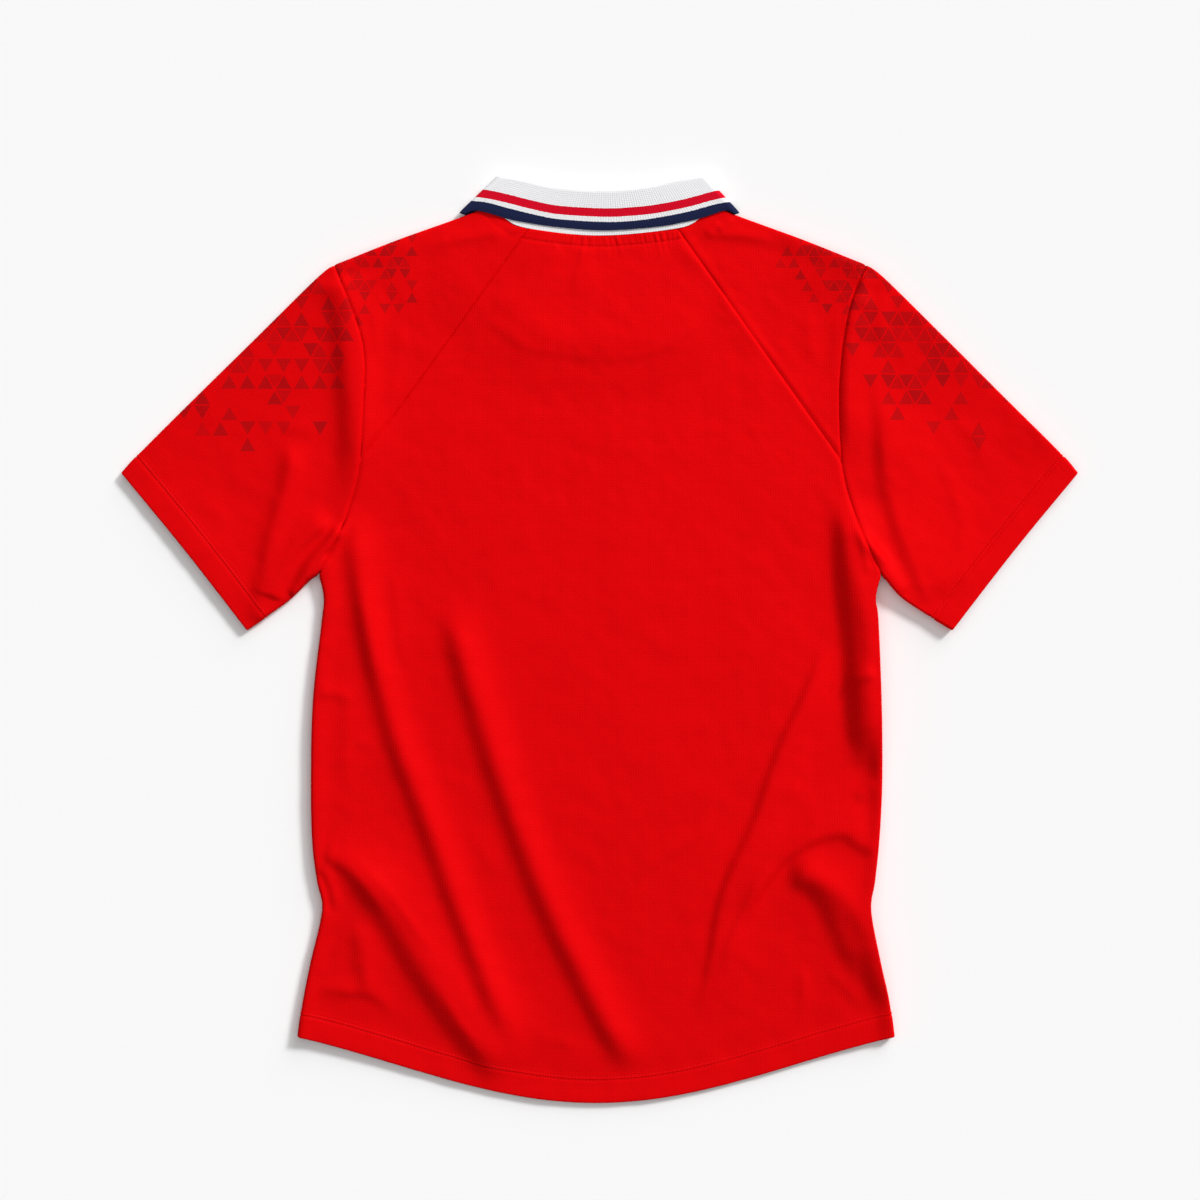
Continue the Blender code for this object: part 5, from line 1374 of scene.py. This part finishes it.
def stitch_tree():
    """Build the tree that sews a row of stitches along lines, on the cloth below them."""
    tree = bpy.data.node_groups.new("jersey stitches", "GeometryNodeTree")
    for name, kind in (("Rows", "Geometry"), ("Cloth", "Object"), ("Pitch", "Float"),
                       ("Length", "Float"), ("Width", "Float"), ("Side", "Float"),
                       ("Thread", "Material")):
        tree.interface.new_socket(name, in_out="INPUT", socket_type="NodeSocket" + kind)
    tree.interface.new_socket("Stitches", in_out="OUTPUT", socket_type="NodeSocketGeometry")
    given = add(tree, "NodeGroupInput").outputs
    target = add(tree, "GeometryNodeObjectInfo", {"Object": given["Cloth"]})
    line = add(tree, "GeometryNodeMeshToCurve", {"Mesh": given["Rows"]})
    even = add(tree, "GeometryNodeResampleCurve", {"Curve": line.outputs[0],
                                                   "Length": given["Pitch"]}, mode="LENGTH")
    down = combined(tree, 0.0, 0.0, calc(tree, "MULTIPLY", given["Side"], -1.0))
    hit = add(tree, "GeometryNodeRaycast", {"Target Geometry": target.outputs["Geometry"],
                                            "Ray Direction": down, "Ray Length": CAST})
    held = add(tree, "GeometryNodeCaptureAttribute", {"Geometry": even.outputs[0]})
    held.capture_items.new("VECTOR", "Up")
    tree.links.new(hit.outputs["Hit Normal"], held.inputs["Up"])
    placed = add(tree, "GeometryNodeSetPosition", {"Geometry": held.outputs["Geometry"],
                                                   "Selection": hit.outputs["Is Hit"],
                                                   "Position": hit.outputs["Hit Position"]})
    tangent = add(tree, "GeometryNodeInputTangent")
    turn = add(tree, "FunctionNodeAxesToRotation", {"Primary Axis": held.outputs["Up"],
                                                    "Secondary Axis": tangent.outputs[0]},
               primary_axis="Z", secondary_axis="X")
    bead = add(tree, "GeometryNodeMeshUVSphere", {"Segments": 6, "Rings": 4, "Radius": 0.5})
    size = combined(tree, given["Length"], given["Width"], given["Width"])
    shape = add(tree, "GeometryNodeTransform", {"Geometry": bead.outputs[0], "Scale": size})
    sewn = add(tree, "GeometryNodeInstanceOnPoints", {"Points": placed.outputs[0],
                                                      "Instance": shape.outputs[0],
                                                      "Rotation": turn.outputs[0]})
    real = add(tree, "GeometryNodeRealizeInstances", {"Geometry": sewn.outputs[0]})
    painted = add(tree, "GeometryNodeSetMaterial", {"Geometry": real.outputs[0],
                                                    "Material": given["Thread"]})
    add(tree, "NodeGroupOutput", {0: painted.outputs[0]})
    return tree


def sew(name, lines, cloth_piece, side, settings, thread):
    """Sew rows of stitches on a piece of cloth, along lines in plan."""
    points, steps = [], []
    for line in lines:
        first = len(points)
        points += [(x * MM, y * MM, side * ROWS_OFF) for x, y in line]
        steps += [(at, at + 1) for at in range(first, len(points) - 1)]
    data = bpy.data.meshes.new(name + "_rows")
    data.from_pydata(points, steps, [])
    rows = new_object(name + "_rows", data)
    tree = bpy.data.node_groups.get("jersey stitches") or stitch_tree()
    modifier = rows.modifiers.new("stitches", "NODES")
    modifier.node_group = tree
    values = {"Cloth": cloth_piece, "Pitch": settings.pitch, "Length": settings.length,
              "Width": settings.width, "Side": float(side), "Thread": thread}
    for item in tree.interface.items_tree:
        if item.in_out == "INPUT" and item.name in values:
            modifier[item.identifier] = values[item.name]
    graph = bpy.context.evaluated_depsgraph_get()
    made = bpy.data.meshes.new_from_object(rows.evaluated_get(graph), depsgraph=graph)
    made.name = name
    bpy.data.objects.remove(rows)
    spots = np.zeros(len(made.vertices) * 3, np.float32)
    made.vertices.foreach_get("co", spots)
    spots[2::3] = np.maximum(spots[2::3], 0.0)
    made.vertices.foreach_set("co", spots)
    made.shade_smooth()
    if not len(made.polygons):
        raise RuntimeError("no stitches were sewn for " + name)
    piece = new_object(name, made)
    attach(piece, "root")


# ---------------------------------------------------------------- settings
def length_setting(name, description, default, low, high):
    """Return a length of the panel, in metres."""
    return FloatProperty(name=name, description=description, unit="LENGTH", default=default,
                         min=low, max=high)


def share_setting(name, description, default, high=1.0):
    """Return a share of the panel, from nothing up."""
    return FloatProperty(name=name, description=description, subtype="FACTOR", default=default,
                         min=0.0, max=high)


def light_setting(name, description, default):
    """Return a strength of light of the panel."""
    return FloatProperty(name=name, description=description, default=default, min=0.0, max=5.0)


def angle_setting(name, description, degrees, low=0.0, high=math.pi):
    """Return an angle of the panel, in radians."""
    return FloatProperty(name=name, description=description, subtype="ANGLE",
                         default=math.radians(degrees), min=low, max=high)


def colour_setting(name, description, code):
    """Return a colour of the panel."""
    return FloatVectorProperty(name=name, description=description, subtype="COLOR", size=3,
                               min=0.0, max=1.0, default=linear(code))


class JerseyCloth(bpy.types.PropertyGroup):
    """Sizes and colours of the body's knit."""
    colour: colour_setting("Body red", "Colour of the body cloth", "#D70408")
    print_colour: colour_setting("Print", "Tonal print on the shoulders", "#A90A0E")
    wale: length_setting("Wale", "Pitch of the knit's columns", 0.0021, 0.0004, 0.01)
    course: length_setting("Course", "Pitch of the knit's rows", 0.0018, 0.0004, 0.01)
    yarn: length_setting("Yarn", "Size of the yarn's unevenness", 0.0022, 0.0005, 0.02)
    cloud: length_setting("Cloud", "Size of the slow change of shade", 0.03, 0.005, 0.2)
    relief: length_setting("Relief", "Depth of the loops", 0.00012, 0.0, 0.001)
    mottle: share_setting("Mottle", "Strength of the change of shade", 0.06, 0.5)
    # Painted light falloff: for each metre of position, the cloth's colour grows paler to the
    # right and top and darker to the left and bottom. It stands in for light falling off across
    # the garment.
    painted_light_falloff: FloatVectorProperty(name="Drift", size=3, default=(0.14, 0.19, 0.0),
                               description="Change of the dye's shade, for each metre of cloth")
    roughness: share_setting("Roughness", "Roughness of the cloth", 0.6)
    gloss: share_setting("Gloss", "Mirror share of the yarn", 0.012)
    sheen: share_setting("Sheen", "Soft sheen at grazing angles", 0.0)


class JerseyCollar(bpy.types.PropertyGroup):
    """Stripes and ribs of the collar."""
    white: colour_setting("White", "Ground of the collar", "#E8E7E9")
    red: colour_setting("Red stripe", "Colour of the upper stripe", "#D00523")
    navy: colour_setting("Navy edge", "Colour of the edge stripe", "#1A2142")
    navy_width: length_setting("Navy width", "Width of the edge stripe", 0.0077, 0.001, 0.03)
    gap_width: length_setting("Gap", "White between the stripes", 0.0045, 0.001, 0.03)
    red_width: length_setting("Red width", "Width of the upper stripe", 0.0073, 0.001, 0.03)
    rib: length_setting("Rib", "Pitch of the ribs", 0.0018, 0.0005, 0.01)
    course: length_setting("Course", "Pitch of the knit's rows", 0.0016, 0.0005, 0.01)
    relief: length_setting("Relief", "Depth of the ribs", 0.0002, 0.0, 0.001)


class JerseySewing(bpy.types.PropertyGroup):
    """Sizes of the stitches."""
    pitch: length_setting("Pitch", "Stitch to stitch", 0.003, 0.001, 0.01)
    length: length_setting("Length", "Length of a stitch", 0.0024, 0.0005, 0.01)
    width: length_setting("Thread", "Thickness of the thread", 0.0005, 0.0001, 0.003)


class JerseyStage(bpy.types.PropertyGroup):
    """Light, floor and camera."""
    view_width: length_setting("View", "Width of the floor that shows", 1.032, 0.2, 5.0)
    distance: length_setting("Distance", "Camera above the floor", 2.8, 0.5, 20.0)
    key: light_setting("Key", "Light that the key throws on the floor", 0.40)
    key_height: angle_setting("Key height", "Its angle over the floor", 33, 0.05, math.pi / 2)
    key_turn: angle_setting("Key turn", "Its angle from the right", 43, -math.pi)
    key_size: angle_setting("Key size", "How wide the light looks", 13)
    side: light_setting("Side", "Light that the low, wide side light throws", 0.17)
    side_height: angle_setting("Side height", "Its angle over the floor", 25, 0.05, math.pi / 2)
    side_turn: angle_setting("Side turn", "Its angle from the right", 60, -math.pi)
    side_size: angle_setting("Side size", "How wide the light looks", 40)
    top: light_setting("Top", "Light that the wide top light throws", 0.37)
    top_size: angle_setting("Top size", "How wide the light looks", 85)
    sky: light_setting("Fill", "Strength of the light from all round", 0.11)


# ---------------------------------------------------------------- operators
GRAIN = {"body": 0.0, "left": math.radians(-45), "right": math.radians(45)}


class JERSEY_OT_body(bpy.types.Operator):
    """Lay the back and the front panel"""
    bl_idname = "jersey.body"
    bl_label = "Back and front"

    def execute(self, context):
        cloth = context.scene.jersey_cloth
        look = knit_material("polyester knit, body", cloth, GRAIN["body"])
        dressed(make_front(look), "front_panel")
        dressed(make_back(look), "back_panel")
        return {"FINISHED"}


class JERSEY_OT_shoulders(bpy.types.Operator):
    """Lay the two shoulder panels"""
    bl_idname = "jersey.shoulders"
    bl_label = "Shoulder panels"

    def execute(self, context):
        cloth = context.scene.jersey_cloth
        for side in ("left", "right"):
            look = knit_material("polyester knit, shoulder " + side, cloth, GRAIN["body"],
                                 PRINTS["shoulder_" + side])
            dressed(make_shoulder(side, look),
                    "shoulder_panel_" + side)
        return {"FINISHED"}


class JERSEY_OT_sleeves(bpy.types.Operator):
    """Lay the two sleeves"""
    bl_idname = "jersey.sleeves"
    bl_label = "Sleeves"

    def execute(self, context):
        cloth = context.scene.jersey_cloth
        for side in ("left", "right"):
            look = knit_material("polyester knit, sleeve " + side, cloth, GRAIN[side],
                                 PRINTS["sleeve_" + side])
            dressed(make_sleeve(side, look),
                    "sleeve_" + side)
        return {"FINISHED"}


class JERSEY_OT_collar(bpy.types.Operator):
    """Lay the turned-over collar"""
    bl_idname = "jersey.collar"
    bl_label = "Collar"

    def execute(self, context):
        settings = context.scene.jersey_collar
        made = make_collar(collar_material(settings), 1e3 * settings.navy_width,
                           1e3 * settings.gap_width)
        dressed(made, "collar")
        return {"FINISHED"}


def rows_beside(edge, inward, trim, distances=TWIN_ROWS):
    """Return needle rows beside an edge, on its left (1) or its right (-1)."""
    return [edge.beside(inward * at).cut(trim, 1.0 - trim).points for at in distances]


class JERSEY_OT_sewing(bpy.types.Operator):
    """Sew the hems, the cuffs and the neck"""
    bl_idname = "jersey.sewing"
    bl_label = "Stitches"

    def execute(self, context):
        settings = context.scene.jersey_sewing
        thread = thread_material(context.scene.jersey_cloth)
        rows = [("hem_back", "back", rows_beside(BACK_HEM, 1, HEM_TRIM), 1),
                ("hem_front", "front", rows_beside(FRONT_HEM, 1, HEM_TRIM), -1),
                ("neck", "back", rows_beside(NECKLINE, -1, NECK_TRIM, (NECK_ROW,)), 1)]
        for side, cut in CUTS.items():
            cuff = rows_beside(cut.cuff, -cut.sign, CUFF_TRIM)
            rows += [("cuff_" + side, "sleeve_" + side, cuff, 1),
                     ("cuff_under_" + side, "sleeve_" + side, cuff, -1)]
        for name, piece, lines, face in rows:
            sew("stitches_" + name, lines, bpy.data.objects["cloth_" + piece], face, settings,
                thread)
        return {"FINISHED"}


FLOOR_HALF, FLOOR_LEVEL = 3.0, -0.0004            # metres
PAPER = (0.9, 0.9, 0.9, 1.0)
VIEW_CENTRE = (0.0004, 0.034)
SENSOR = 36.0                                     # width of the camera's sensor


def far_light(name, strength, size, height, turn):
    """Add a far, soft light. Its strength is the share of full white that it gives the floor."""
    light = bpy.data.lights.new(name, "SUN")
    light.energy = math.pi * strength / math.sin(height)
    light.angle = size
    new_object(name, light).rotation_euler = (0.0, math.pi / 2 - height, turn)


def lay_floor():
    """Lay a sheet of white paper as the floor, a hair under the jersey."""
    made, _, shader = new_material("matt white paper")
    set_constants(shader, {"Base Color": PAPER, "Roughness": 1.0, "Specular IOR Level": 0.0})
    data = bpy.data.meshes.new("floor")
    corners = ((-1, -1), (1, -1), (1, 1), (-1, 1))
    data.from_pydata([(x * FLOOR_HALF, y * FLOOR_HALF, FLOOR_LEVEL) for x, y in corners], [],
                     [(0, 1, 2, 3)])
    data.materials.append(made)
    floor = new_object("floor", data)


class JERSEY_OT_stage(bpy.types.Operator):
    """Set the floor, the light and the camera"""
    bl_idname = "jersey.stage"
    bl_label = "Stage"

    def execute(self, context):
        scene = context.scene
        stage = scene.jersey_stage
        lay_floor()
        far_light("key", stage.key, stage.key_size, stage.key_height, stage.key_turn)
        far_light("side", stage.side, stage.side_size, stage.side_height, stage.side_turn)
        far_light("top", stage.top, stage.top_size, math.pi / 2, 0.0)
        world = bpy.data.worlds.new("studio")
        world.use_nodes = True
        set_constants(world.node_tree.nodes["Background"],
                      {"Color": (1, 1, 1, 1), "Strength": stage.sky})
        scene.world = world
        scene.view_settings.view_transform = "Standard"
        lens = bpy.data.cameras.new("camera")
        lens.sensor_width = SENSOR
        lens.lens = SENSOR * stage.distance / stage.view_width
        scene.camera = new_object("camera", lens)
        scene.camera.location = (*VIEW_CENTRE, stage.distance)
        return {"FINISHED"}


class JERSEY_PT_panel(bpy.types.Panel):
    """Lists the steps that dress the jersey"""
    bl_idname = "JERSEY_PT_panel"
    bl_label = "Jersey"
    bl_space_type = "VIEW_3D"
    bl_region_type = "UI"
    bl_category = "Jersey"

    def draw(self, context):
        for step in OPERATORS:
            self.layout.operator(step.bl_idname)
        for name, group in SETTINGS.items():
            box = self.layout.box()
            for prop in group.__annotations__:
                box.prop(getattr(context.scene, name), prop)


SETTINGS = {"jersey_cloth": JerseyCloth, "jersey_collar": JerseyCollar,
            "jersey_sewing": JerseySewing, "jersey_stage": JerseyStage}
OPERATORS = (JERSEY_OT_stage, JERSEY_OT_body, JERSEY_OT_shoulders, JERSEY_OT_sleeves,
             JERSEY_OT_collar, JERSEY_OT_sewing)


def register():
    for group in SETTINGS.values():
        bpy.utils.register_class(group)
    for step in OPERATORS:
        bpy.utils.register_class(step)
    bpy.utils.register_class(JERSEY_PT_panel)
    for name, group in SETTINGS.items():
        setattr(bpy.types.Scene, name, PointerProperty(type=group))


def unregister():
    for name in SETTINGS:
        delattr(bpy.types.Scene, name)
    bpy.utils.unregister_class(JERSEY_PT_panel)
    for kind in (*OPERATORS, *SETTINGS.values()):
        bpy.utils.unregister_class(kind)


def main():
    """Dress the jersey."""
    register()
    bpy.ops.jersey.stage()
    bpy.ops.jersey.body()
    bpy.ops.jersey.shoulders()
    bpy.ops.jersey.sleeves()
    bpy.ops.jersey.collar()
    bpy.ops.jersey.sewing()


if __name__ == "__main__":
    main()
